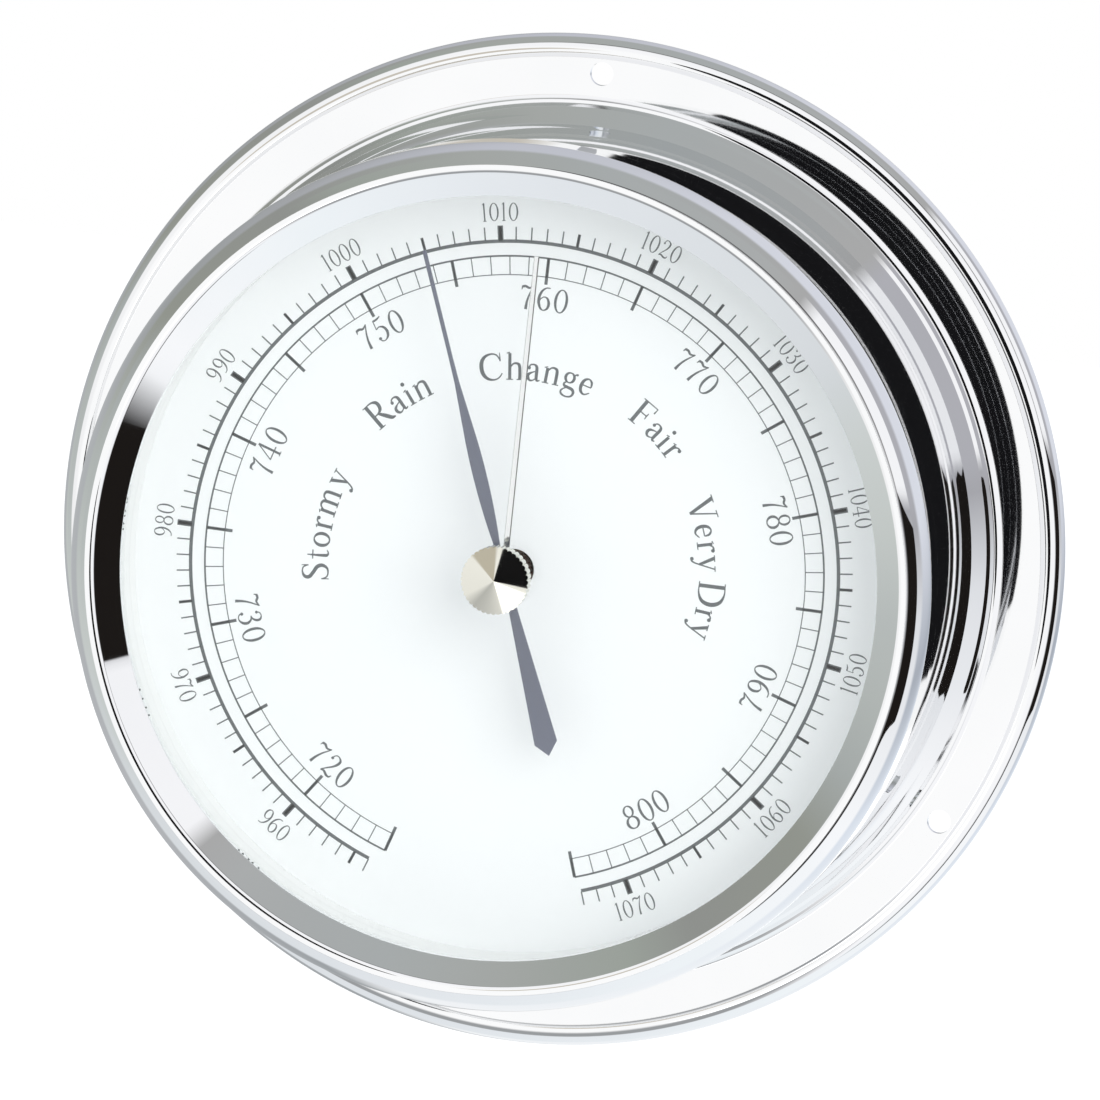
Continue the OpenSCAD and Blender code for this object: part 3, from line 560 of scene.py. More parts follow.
class Workshop:
    """Makes pieces from bench drawings, and sets them on their bodies."""

    seam = 0.002
    crisp = math.radians(32)

    def __init__(self, dresser: Dresser) -> None:
        """Takes up the dresser and makes both trees."""
        self.dresser = dresser
        self.turning, self.round = TurningTree(), RoundTree()

    def loose_mesh(self, name: str, points: list, faces: list) -> bpy.types.Mesh:
        """A mesh from bench points and faces.

        Args:
            name: name of the mesh.
            points: x, y and z of its points.
            faces: the points of each face, by number.

        Returns:
            The mesh.
        """
        mesh = bpy.data.meshes.new(name)
        mesh.from_pydata([tuple(p) for p in points], [], faces)
        return mesh

    def closed_mesh(self, name: str, points: list, faces: list) -> bpy.types.Mesh:
        """A closed body from bench points and faces, which are all turned to face outwards.

        Args:
            name: name of the mesh.
            points: x, y and z of its points.
            faces: the points of each face, by number.

        Returns:
            The mesh.
        """
        mesh = self.loose_mesh(name, points, faces)
        with opened(mesh) as work:
            bmesh.ops.recalc_face_normals(work, faces=work.faces)
        return mesh

    def turned(self, name: str, profile: list[Point], finish: Finishes,
               segments: int = 288) -> bpy.types.Mesh:
        """A body of revolution.

        Args:
            name: name of the mesh.
            profile: radius and height of each point, counter-clockwise round the material.
            finish: its finish.
            segments: how many flats the round has.

        Returns:
            The mesh, on the bench.
        """
        seed = self.loose_mesh(name, [(r, z, 0.0) for r, z in profile], [])
        return self.turning.bake(name, seed, {
            "Segments": segments, "Seam": self.seam, "Material": self.dresser.made[finish]})

    def copies(self, body: bpy.types.Mesh, count: int, first: float, step: float,
               finish: Finishes) -> bpy.types.Mesh:
        """Copies of a small body round the centre.

        Args:
            body: its mesh, as it is at twelve o'clock.
            count: how many there are.
            first: angle of the first one, in degrees clockwise from twelve o'clock.
            step: angle from one to the next, in degrees.
            finish: their finish.

        Returns:
            The mesh, on the bench.
        """
        return self.round.bake(body.name, body, {
            "Count": count, "First": math.radians(first), "Step": math.radians(step),
            "Material": self.dresser.made[finish]})

    def joined(self, name: str, meshes: list[bpy.types.Mesh]) -> bpy.types.Mesh:
        """One mesh from several.

        Args:
            name: name of the mesh.
            meshes: what it is made from.

        Returns:
            The mesh.
        """
        whole = bpy.data.meshes.new(name)
        with opened(whole) as work:
            for mesh in meshes:
                work.from_mesh(mesh)
        return whole

    def piece(self, name: str, mesh: bpy.types.Mesh, finish: Finishes, body: str, replaces: str | None = None,
              slot: str | None = None, smooth: bool = True) -> bpy.types.Object:
        """Stands a bench mesh up in the row, dresses it and sets it on its body.

        Args:
            name: the piece's name.
            mesh: the bench mesh.
            finish: its finish.
            body: the body that it rides on.
            replaces: the node that it stands for.
            slot: the record's material slot; not used.
            smooth: whether gentle edges are shaded round.

        Returns:
            The piece's object.
        """
        mesh.transform(BENCH_TO_ROW)
        self.dresser.dress(mesh, finish)
        mesh.polygons.foreach_set("use_smooth", [smooth] * len(mesh.polygons))
        if smooth:
            mesh.set_sharp_from_angle(angle=self.crisp)
        mesh.update()
        made = placed(name, mesh)
        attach(made, body)
        if replaces:
            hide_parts(replaces)
        LOG.info("%s: %d faces on %s", name, len(mesh.polygons), body)
        return made


def arc(centre: Point, radius: float, start: float, stop: float, steps: int) -> list[Point]:
    """Points on an arc, its angles in degrees counter-clockwise from the first axis."""
    angles = np.radians(np.linspace(start, stop, steps + 1))
    return [(centre[0] + radius * math.cos(a), centre[1] + radius * math.sin(a)) for a in angles]


def eased(corners: list[Triple], support: float = 0.05, longest: float = 3.0, chords: int = 6,
          most: float = 0.45) -> list[Point]:
    """Rounds the corners of a closed profile and sets points close to them, so that flats stay flat.

    Args:
        corners: radius, height and rounding of each corner. A rounding of 0 keeps the point as it is.
        support: distance of the extra point beside a corner.
        longest: longest stretch without a point.
        chords: how many chords a rounded corner has.
        most: the most of a side that a rounded corner may take.

    Returns:
        The profile's points, with the first one again at the end.
    """
    points: list[Point] = []
    for i, (r, z, ease) in enumerate(corners):
        if ease <= 0:
            points.append((r, z))
            continue
        here = Vector((r, z))
        before, after = (Vector(corners[k % len(corners)][:2]) - here for k in (i - 1, i + 1))
        into, out = before.normalized(), after.normalized()
        half = into.angle(out) / 2
        reach = min(ease / math.tan(half), most * before.length, most * after.length)
        middle = here + (into + out).normalized() * (reach * math.tan(half) / math.sin(half))
        start, stop = here + into * reach - middle, here + out * reach - middle
        sweep = start.angle_signed(stop)
        points.append(tuple(here + into * (reach + support)))
        for k in range(chords + 1):
            spin = -sweep * k / chords
            points.append((middle.x + start.x * math.cos(spin) - start.y * math.sin(spin),
                           middle.y + start.x * math.sin(spin) + start.y * math.cos(spin)))
        points.append(tuple(here + out * (reach + support)))
    points.append(points[0])
    filled: list[Point] = [points[0]]
    for a, b in zip(points, points[1:]):
        cuts = max(1, math.ceil(math.dist(a, b) / longest))
        for k in range(1, cuts + 1):
            filled.append((a[0] + (b[0] - a[0]) * k / cuts, a[1] + (b[1] - a[1]) * k / cuts))
    return filled


@dataclass
class Case:
    """The chromed case: wall flange with rolled bead, step, barrel, and the bezel that closes it."""

    shop: Workshop
    bead_at: Point = (72.6, 0.33)
    bead_r: float = 2.4
    bead_sweep: Point = (-7.9, 111.6)
    bead_inner: float = 71.0
    sheet: float = 1.2
    barrel_r: float = 61.3
    barrel_top: float = 50.2
    wall_r: float = 62.1
    wall_top: float = 43.59
    hole_ring_r: float = 69.5
    hole_r: float = 1.75
    hole_turn: float = -1.3
    drill_z: float = 2.0
    drill_l: float = 8.0
    fall: float = math.radians(0.9)
    face_r: float = 71.66
    toe: float = 66.15
    pitch: float = 0.05
    foot: tuple[Point, ...] = (
        (66.15, 0.9), (66.05, 23.0), (65.45, 30.0), (65.35, 12.0), (65.0, 14.0), (64.92, 50.0), (64.45, 52.0),
        (64.38, 42.0), (64.0, 41.0), (63.92, 51.0), (63.3, 54.0), (62.7, 52.0), (62.1, 55.0))
    lug_angles: tuple[float, ...] = (30.0, 150.0, 270.0)
    lug_size: Triple = (8.4, 8.0, 6.0)
    lug_in: float = 3.4
    lug_z: float = 5.2
    lug_ease: float = 0.5
    skirt_r: float = 63.1
    skirt_bore: float = 61.32
    skirt_foot: float = 43.6
    roll_z: float = 49.4
    roll_in: float = 2.9
    roll_h: float = 5.0
    crown_r: float = 59.2
    lip_r: float = 55.5
    lip_top: float = 51.71
    lip_foot: float = 50.5

    def __post_init__(self) -> None:
        """Radius inside the barrel, and top of the bezel."""
        self.inner = self.barrel_r - self.sheet
        self.crown_z = self.roll_z + self.roll_h

    def face_height(self, radius: float) -> float:
        """Height of the flange's front face at a radius: it falls a little outwards."""
        return BACK_FACE + self.sheet - math.tan(self.fall) * (radius - self.toe)

    def foot_points(self) -> list[Point]:
        """The spun foot between flange and barrel, summed from its slopes.

        Returns:
            Radius and height of its points, inwards.
        """
        radii = np.arange(self.toe, self.foot[-1][0] - self.pitch / 2, -self.pitch)
        slopes = np.interp(-radii, [-r for r, _ in self.foot], [slope for _, slope in self.foot])
        rises = np.tan(np.radians(slopes)) * self.pitch
        climb = np.concatenate([[0.0], np.cumsum((rises[1:] + rises[:-1]) / 2)])
        return list(zip(radii.tolist(), (self.face_height(self.toe) + climb).tolist()))

    def shell_profile(self) -> list[Point]:
        """The case's half section.

        Returns:
            Its points.
        """
        bead = arc(self.bead_at, self.bead_r, *self.bead_sweep, 48)
        radii = np.linspace(self.face_r, self.toe + self.pitch, 12).tolist()
        face = [(r, self.face_height(r)) for r in radii]
        return eased([
            (self.inner, BACK_FACE, 0.25), (self.bead_inner, BACK_FACE, 0.3), (self.bead_inner, 0.0, 0.7),
            *[(*p, 0.0) for p in (*bead, *face, *self.foot_points())],
            (self.wall_r, self.wall_top, 0.01), (self.barrel_r, self.wall_top, 0.01),
            (self.barrel_r, self.barrel_top, 0.3), (self.inner, self.barrel_top, 0.2)])

    def lug(self, angle: float) -> bpy.types.Mesh:
        """A lug that the back cover is screwed to, with rounded corners.

        Args:
            angle: its place round the case, in degrees counter-clockwise from three o'clock.

        Returns:
            The mesh, on the bench.
        """
        mesh = bpy.data.meshes.new("lug")
        turn = Matrix.Rotation(math.radians(angle), 4, "Z")
        place = turn @ Matrix.Translation((self.inner - self.lug_in, 0, self.lug_z))
        with opened(mesh) as work:
            bmesh.ops.create_cube(work, size=1.0, matrix=place @ Matrix.Diagonal((*self.lug_size, 1)))
            bmesh.ops.bevel(work, geom=work.edges, offset=self.lug_ease, segments=3, affect="EDGES",
                            profile=0.5)
        return mesh

    def drilled(self, shell: bpy.types.Mesh) -> bpy.types.Mesh:
        """The shell with the wall screw holes cut out.

        Args:
            shell: its mesh, on the bench.

        Returns:
            The mesh with holes.
        """
        mesh = bpy.data.meshes.new("drill")
        with opened(mesh) as work:
            for i in range(3):
                place = Matrix.Translation((*clock(self.hole_turn + 120 * i, self.hole_ring_r), self.drill_z))
                bmesh.ops.create_cone(work, cap_ends=True, segments=48, radius1=self.hole_r,
                                      radius2=self.hole_r, depth=self.drill_l, matrix=place)
        drill, blank = placed("drill", mesh), placed("blank", shell)
        cut = blank.modifiers.new("holes", "BOOLEAN")
        cut.operation, cut.solver, cut.object = "DIFFERENCE", "EXACT", drill
        whole = evaluated(blank)
        bpy.data.objects.remove(drill)
        return whole

    def true_normals(self, mesh: bpy.types.Mesh) -> None:
        """Gives the flange's face the normals of its section, which the cuts at the holes would disturb.

        Args:
            mesh: the shell's mesh, in the row.
        """
        places = column(mesh.vertices, "co", 3)[column(mesh.loops, "vertex_index")] / MM
        sides = column(mesh.polygons, "loop_total")
        facing = np.repeat(column(mesh.polygons, "normal", 3)[:, 1], sides)
        radius = np.hypot(places[:, 0], places[:, 2])
        first, last = self.toe + self.pitch, self.face_r - self.pitch
        flat = (radius > first) & (radius < last) & (np.abs(facing) > 0.95)
        front = places * (math.tan(self.fall) / radius)[:, None]
        front[:, 1] = -1
        front /= np.linalg.norm(front, axis=1)[:, None]
        back = np.array((0.0, 1.0, 0.0))
        true = np.where((facing > 0)[:, None], back, front)
        normals = np.where(flat[:, None], true, column(mesh.corner_normals, "vector", 3))
        mesh.normals_split_custom_set(normals.tolist())

    def bezel_profile(self) -> list[Point]:
        """The bezel's half section: skirt, rolled shoulder, ridge, flat crown, cone and lip.

        Returns:
            Its points.
        """
        roll_r = (self.roll_in ** 2 + self.roll_h ** 2) / (2 * self.roll_in)
        top = math.degrees(math.asin(self.roll_h / roll_r))
        roll = arc((self.skirt_r - roll_r, self.roll_z), roll_r, 0, top - 1.5, 40)
        return eased([
            (self.skirt_bore, self.skirt_foot, 0.01), (self.skirt_r, self.skirt_foot, 0.01),
            *[(*p, 0.0) for p in roll],
            (self.skirt_r - self.roll_in, self.crown_z, 0.1), (self.crown_r, self.crown_z, 1.35),
            (self.lip_r, self.lip_top, 0.2), (self.lip_r, self.lip_foot, 0.1),
            (self.skirt_bore, self.lip_foot, 0.1)], 0.03)

    def build(self) -> None:
        """Makes the shell, its lugs and the bezel."""
        shop, chrome = self.shop, Finishes.CHROME
        shell = self.drilled(shop.turned("case_shell_mesh", self.shell_profile(), chrome))
        polished = shop.piece("polished_case", shell, chrome, "case", "case_shell", "chrome")
        self.true_normals(polished.data)
        lugs = shop.joined("lugs", [self.lug(angle) for angle in self.lug_angles])
        shop.piece("cover_lugs", lugs, chrome, "case", slot="chrome")
        bezel = shop.turned("bezel_mesh", self.bezel_profile(), chrome)
        shop.piece("polished_bezel", bezel, chrome, "case", "bezel_ring", "chrome")


@dataclass
class Window:
    """The glass, and the white ring that holds it off the dial."""

    shop: Workshop
    outer_r: float = 59.8
    glass_z: float = 48.2
    glass_top: float = 50.2
    bore_r: float = 2.12
    ring_r: float = 56.0
    ring_flare: float = 0.5
    dial_face: float = 38.8

    def build(self) -> None:
        """Makes the glass and the ring."""
        pane = self.shop.turned("pane_mesh", eased([
            (self.bore_r, self.glass_z, 0.1), (self.outer_r, self.glass_z, 0.2),
            (self.outer_r, self.glass_top, 0.2), (self.bore_r, self.glass_top, 0.1),
        ], longest=20.0), Finishes.GLASS, 144)
        self.shop.piece("window_pane", pane, Finishes.GLASS, "case", "window_glass", "glass")
        ring = self.shop.turned("ring_mesh", eased([
            (self.ring_r, self.dial_face, 0.15), (self.outer_r, self.dial_face, 0.15),
            (self.outer_r, self.glass_z, 0.15), (self.ring_r + self.ring_flare, self.glass_z, 0.2),
        ]), Finishes.RING)
        self.shop.piece("white_ring", ring, Finishes.RING, "case", "spacer_ring", "ring_white")


CAP_HEIGHT = 700  # of the drawn characters, in their own units


@dataclass(frozen=True)
class Glyph:
    """A printed character: its advance, its pen strokes of x, y and width, its dots and its ovals.

    A dot has x, y and radius. An oval has x, y, half width, half height, and the pen's width at its
    sides and at its top.
    """

    advance: float
    strokes: tuple[Stroke, ...] = ()
    dots: tuple[Triple, ...] = ()
    ovals: tuple[tuple[float, ...], ...] = ()

    def outlines(self, weight: float) -> list[list[Point]]:
        """The character's outlines.

        Args:
            weight: thickness of the strokes, 1 as drawn.

        Returns:
            Closed outlines, which may lie over each other.
        """
        shapes: list[list[Point]] = []
        for stroke in self.strokes:
            shapes += self.ribbon([(x, y, w * weight) for x, y, w in self.smooth(stroke)])
        for x, y, radius in self.dots:
            shapes.append(arc((x, y), radius * weight, 0, 330, 11))
        for x, y, half_w, half_h, thick, thin in self.ovals:
            loop = []
            for a in np.radians(np.linspace(0, 360, 37)):
                width = thin + (thick - thin) * abs(math.cos(a)) ** 1.5
                loop.append((x + half_w * math.cos(a), y + half_h * math.sin(a), width * weight))
            shapes += self.ribbon(loop)
        return shapes

    def patch(self, weight: float) -> tuple[np.ndarray, list[list[int]]]:
        """The character as one flat patch.

        Args:
            weight: thickness of the strokes, 1 as drawn.

        Returns:
            Its points, and triangles that face up.
        """
        shapes = self.outlines(weight)
        if not shapes:
            return np.zeros((0, 2)), []
        points, faces = [], []
        for shape in shapes:
            faces.append(list(range(len(points), len(points) + len(shape))))
            points += [Vector(p) for p in shape]
        flat, _, triangles, *_ = delaunay_2d_cdt(points, [], faces, 0, 0.5)
        flat, triangles = np.array([tuple(p) for p in flat]), np.array(triangles)
        a, b, c = (flat[triangles[:, k]] for k in range(3))
        x, y = ((a + b + c) / 3).T
        inked = np.zeros(len(triangles), bool)
        for shape in shapes:
            crossings = np.zeros(len(triangles), int)
            for (ax, ay), (bx, by) in zip(shape, shape[1:] + shape[:1]):
                if ay != by:
                    crossings += ((ay > y) != (by > y)) & (x < (bx - ax) * (y - ay) / (by - ay) + ax)
            inked |= crossings % 2 == 1
        (ux, uy), (vx, vy) = (b - a).T, (c - a).T
        turn = ux * vy - uy * vx
        triangles[turn < 0] = triangles[turn < 0][:, [0, 2, 1]]
        used, kept = np.unique(triangles[inked & (np.abs(turn) > 1e-3)], return_inverse=True)
        return flat[used], kept.reshape(-1, 3).tolist()

    @staticmethod
    def smooth(stroke: Stroke) -> Stroke:
        """A smooth line through the stroke's points. Two points stay a straight line.

        Args:
            stroke: x, y and width of its points.

        Returns:
            The same for the line.
        """
        if len(stroke) < 3:
            return stroke
        p = np.array([stroke[0], *stroke, stroke[-1]], float)
        line = []
        for i in range(1, len(p) - 2):
            a, b, c, d = p[i - 1:i + 3]
            for t in np.linspace(0, 1, 7)[:-1]:
                line.append(tuple(0.5 * (2 * b + (c - a) * t + (2 * a - 5 * b + 4 * c - d) * t ** 2
                                         + (3 * b - a - 3 * c + d) * t ** 3)))
        return [*line, stroke[-1]]

    @staticmethod
    def ribbon(line: Stroke) -> list[list[Point]]:
        """Quads along a line.

        Args:
            line: x, y and width of its points.

        Returns:
            Four corners for each stretch.
        """
        p = np.array(line, float)
        along = np.gradient(p[:, :2], axis=0)
        if math.dist(p[0, :2], p[-1, :2]) < 1e-6:
            along[0] = along[-1] = p[1, :2] - p[-2, :2]
        along /= np.linalg.norm(along, axis=1)[:, None]
        side = np.stack([-along[:, 1], along[:, 0]], 1) * p[:, 2:3] / 2
        left, right = [tuple(q) for q in p[:, :2] + side], [tuple(q) for q in p[:, :2] - side]
        return [[right[i], right[i + 1], left[i + 1], left[i]] for i in range(len(p) - 1)]


def stem(x: float, low: float, high: float, width: float) -> Stroke:
    """An upright stroke."""
    return [(x, low, width), (x, high, width)]


def bar(left: float, right: float, y: float, width: float) -> Stroke:
    """A level stroke."""
    return [(left, y, width), (right, y, width)]


def foot(left: float, right: float) -> Stroke:
    """A serif at the foot of a letter."""
    return bar(left, right, 13, 26)


def head(left: float, right: float) -> Stroke:
    """A serif at the head of a capital."""
    return bar(left, right, 687, 26)


def minim(x: float, top: float = 400, flag: float = 430) -> tuple[Stroke, ...]:
    """The upright of a small letter, with its foot and its flag."""
    return stem(x, 10, top, 76), foot(x - 90, x + 90), [(x, flag, 26), (x - 85, flag - 32, 26)]


CAPITAL = stem(135, 10, 690, 92)
ARCH = ([(130, 310, 28), (215, 415, 40), (320, 425, 58), (385, 345, 76), (390, 10, 76)], foot(304, 480))
GLYPHS: dict[str, Glyph] = {
    "0": Glyph(430, ovals=((215, 350, 150, 330, 74, 34),)),
    "1": Glyph(300, (stem(150, 0, 700, 66), bar(85, 215, 14, 28), [(150, 672, 40), (80, 630, 22)])),
    "2": Glyph(440, (
        [(88, 545, 30), (125, 650, 34), (215, 684, 36), (315, 620, 66), (322, 510, 74), (265, 365, 56),
         (150, 200, 40), (62, 62, 36)],
        [(55, 58, 50), (150, 88, 66), (265, 40, 74), (350, 45, 52), (388, 120, 26)]), ((98, 540, 44),)),
    "3": Glyph(430, (
        [(85, 570, 30), (125, 655, 34), (205, 684, 36), (295, 635, 62), (305, 530, 68), (245, 420, 48),
         (165, 388, 30)],
        [(165, 388, 30), (265, 368, 50), (335, 270, 74), (330, 140, 76), (255, 38, 48), (170, 16, 32),
         (90, 55, 34), (62, 130, 38)]), ((95, 565, 42), (76, 132, 46))),
    "4": Glyph(450, (stem(285, 0, 700, 66), [(275, 690, 30), (40, 215, 30)], bar(26, 410, 205, 36),
                     bar(215, 355, 14, 28))),
    "5": Glyph(430, (
        [(118, 650, 62), (230, 655, 58), (345, 700, 28)], [(118, 670, 28), (98, 390, 28)],
        [(98, 392, 28), (190, 432, 38), (295, 375, 66), (340, 235, 78), (300, 95, 68), (200, 16, 36),
         (110, 32, 36), (66, 112, 38)]), ((80, 118, 46),)),
    "6": Glyph(430, (
        [(350, 668, 34), (240, 660, 40), (135, 560, 64), (76, 400, 76), (72, 230, 78), (130, 70, 60),
         (215, 18, 36), (310, 75, 62), (345, 210, 76), (305, 350, 62), (215, 402, 34), (125, 345, 30),
         (84, 260, 30)],)),
    "7": Glyph(440, (
        [(60, 560, 24), (78, 640, 44)], [(66, 640, 70), (160, 660, 74), (265, 615, 62), (385, 690, 30)],
        [(382, 690, 28), (270, 430, 46), (210, 215, 62), (185, 0, 84)])),
    "8": Glyph(440, ovals=((220, 525, 118, 160, 62, 36), (220, 185, 148, 172, 76, 36))),
    "9": Glyph(430, (
        [(80, 32, 34), (190, 40, 40), (295, 140, 64), (354, 300, 76), (358, 470, 78), (300, 630, 60),
         (215, 682, 36), (120, 625, 62), (85, 490, 76), (125, 350, 62), (215, 298, 34), (305, 355, 30),
         (346, 440, 30)],)),
    "S": Glyph(520, (
        [(418, 560, 30), (375, 655, 34), (260, 686, 36), (135, 635, 74), (112, 515, 88), (235, 400, 86),
         (375, 295, 90), (412, 160, 86), (340, 42, 58), (225, 14, 36), (110, 50, 34), (62, 150, 30)],
        [(432, 700, 20), (426, 520, 34)], [(46, 0, 20), (56, 195, 34)])),
    "t": Glyph(310, (
        [(140, 560, 26), (140, 120, 74), (165, 30, 56), (225, 14, 34), (285, 50, 26)],
        bar(35, 275, 418, 30))),
    "o": Glyph(460, ovals=((230, 216, 158, 202, 80, 34),)),
    "r": Glyph(370, (
        stem(120, 10, 400, 76), foot(30, 225), [(120, 430, 26), (35, 398, 26)],
        [(130, 290, 26), (190, 400, 36), (270, 425, 44)]), ((298, 396, 46),)),
    "m": Glyph(820, (
        *minim(120), [(130, 310, 28), (210, 415, 40), (310, 425, 58), (372, 345, 76), (376, 10, 76)],
        foot(292, 462), [(385, 310, 28), (465, 415, 40), (566, 425, 58), (628, 345, 76), (632, 10, 76)],
        foot(548, 720))),
    "y": Glyph(450, (
        [(90, 415, 84), (245, 10, 66)], [(385, 415, 34), (230, -20, 36), (160, -160, 40), (90, -196, 40)],
        bar(10, 185, 418, 26), bar(305, 450, 418, 26)), ((84, -172, 46),)),
    "R": Glyph(640, (
        CAPITAL, foot(30, 245), head(30, 150),
        [(130, 686, 28), (300, 684, 40), (420, 620, 78), (445, 520, 92), (405, 410, 80), (290, 352, 40),
         (130, 350, 28)],
        [(290, 352, 62), (420, 180, 96), (520, 50, 84), (620, 18, 30)])),
    "a": Glyph(430, (
        [(82, 340, 30), (120, 412, 36), (205, 434, 38), (280, 395, 66), (300, 310, 76), (302, 100, 76),
         (330, 24, 48), (400, 42, 26)],
        [(300, 268, 28), (190, 232, 34), (92, 170, 66), (80, 85, 76), (135, 18, 50), (215, 26, 32),
         (300, 90, 28)]), ((92, 338, 42),)),
    "i": Glyph(250, minim(125), ((122, 590, 50),)),
    "n": Glyph(520, (*minim(120), *ARCH)),
    "C": Glyph(690, (
        [(590, 520, 28), (520, 640, 36), (390, 684, 40), (220, 640, 66), (110, 520, 92), (78, 350, 100),
         (112, 180, 92), (225, 55, 66), (390, 16, 40), (530, 65, 34), (620, 170, 28)],
        [(606, 700, 20), (598, 480, 36)])),
    "h": Glyph(520, (*minim(120, 690, 712), *ARCH)),
    "g": Glyph(450, (
        [(305, 375, 28), (365, 420, 44), (410, 412, 56)],
        [(150, 178, 34), (92, 118, 44), (120, 62, 64), (230, 42, 70), (345, 18, 74), (398, -60, 64),
         (355, -160, 46), (225, -200, 38), (95, -165, 50), (60, -90, 46), (110, -20, 34), (170, 22, 30)]),
        ovals=((205, 296, 118, 128, 70, 32),)),
    "e": Glyph(430, (
        [(88, 238, 30), (348, 238, 30)],
        [(345, 250, 34), (318, 370, 56), (218, 432, 38), (112, 362, 68), (76, 216, 82), (112, 76, 72),
         (225, 16, 42), (355, 100, 28)])),
    "F": Glyph(560, (
        CAPITAL, foot(30, 260), bar(30, 490, 687, 28), bar(130, 370, 362, 30),
        [(500, 700, 20), (486, 540, 40)], [(382, 455, 20), (372, 362, 34), (382, 270, 20)])),
    "V": Glyph(660, (
        [(120, 690, 96), (345, 10, 74)], [(345, 10, 38), (555, 690, 34)], head(20, 240), head(455, 650))),
    "D": Glyph(700, (
        CAPITAL, foot(30, 150), head(30, 150),
        [(130, 687, 28), (330, 684, 40), (520, 600, 80), (610, 440, 100), (610, 260, 100), (520, 100, 80),
         (330, 16, 40), (130, 13, 28)])),
    " ": Glyph(190),
}


class Tops(Enum):
    """Which way the tops of printed characters point."""

    OUTWARD = 1
    INWARD = -1


@dataclass(frozen=True)
class Face:
    """How a line is printed: cap height, share of the drawn width, weight, and space added in units."""

    height: float
    width: float
    weight: float
    space: float


@dataclass(frozen=True)
class Scale:
    """One of the dial's scales. Its radii are shares of the dial's main circle.

    Each row of ticks has its step, inner and outer radius and width, and each circle its radius and width.
    """

    top: float
    degrees: float
    ends: tuple[int, int]
    ticks: tuple[tuple[int, float, float, float], ...]
    circles: tuple[Point, ...]
    numbers: range
    upright: range
    print_r: float
    face: Face

    def bearing(self, reading: float) -> float:
        """A reading's angle in degrees from twelve o'clock."""
        return (reading - self.top) * self.degrees


HPA = Scale(1013.25, 2.7, (954, 1073), ((1, 1.0, 1.041, 0.2), (5, 1.0, 1.041, 0.42), (10, 1.0, 1.045, 0.82)),
            ((0.9975, 0.5),), range(960, 1080, 10), range(980, 1041), 1.0865, Face(2.7, 0.99, 0.85, 12))
MMHG = Scale(760.0, 3.6, (715, 805), ((1, 0.896, 0.953, 0.15), (5, 0.873, 0.953, 0.46)),
             ((0.953, 0.26), (0.896, 0.14)), range(720, 810, 10), range(740, 781), 0.83,
             Face(3.55, 1.08, 0.95, 22))


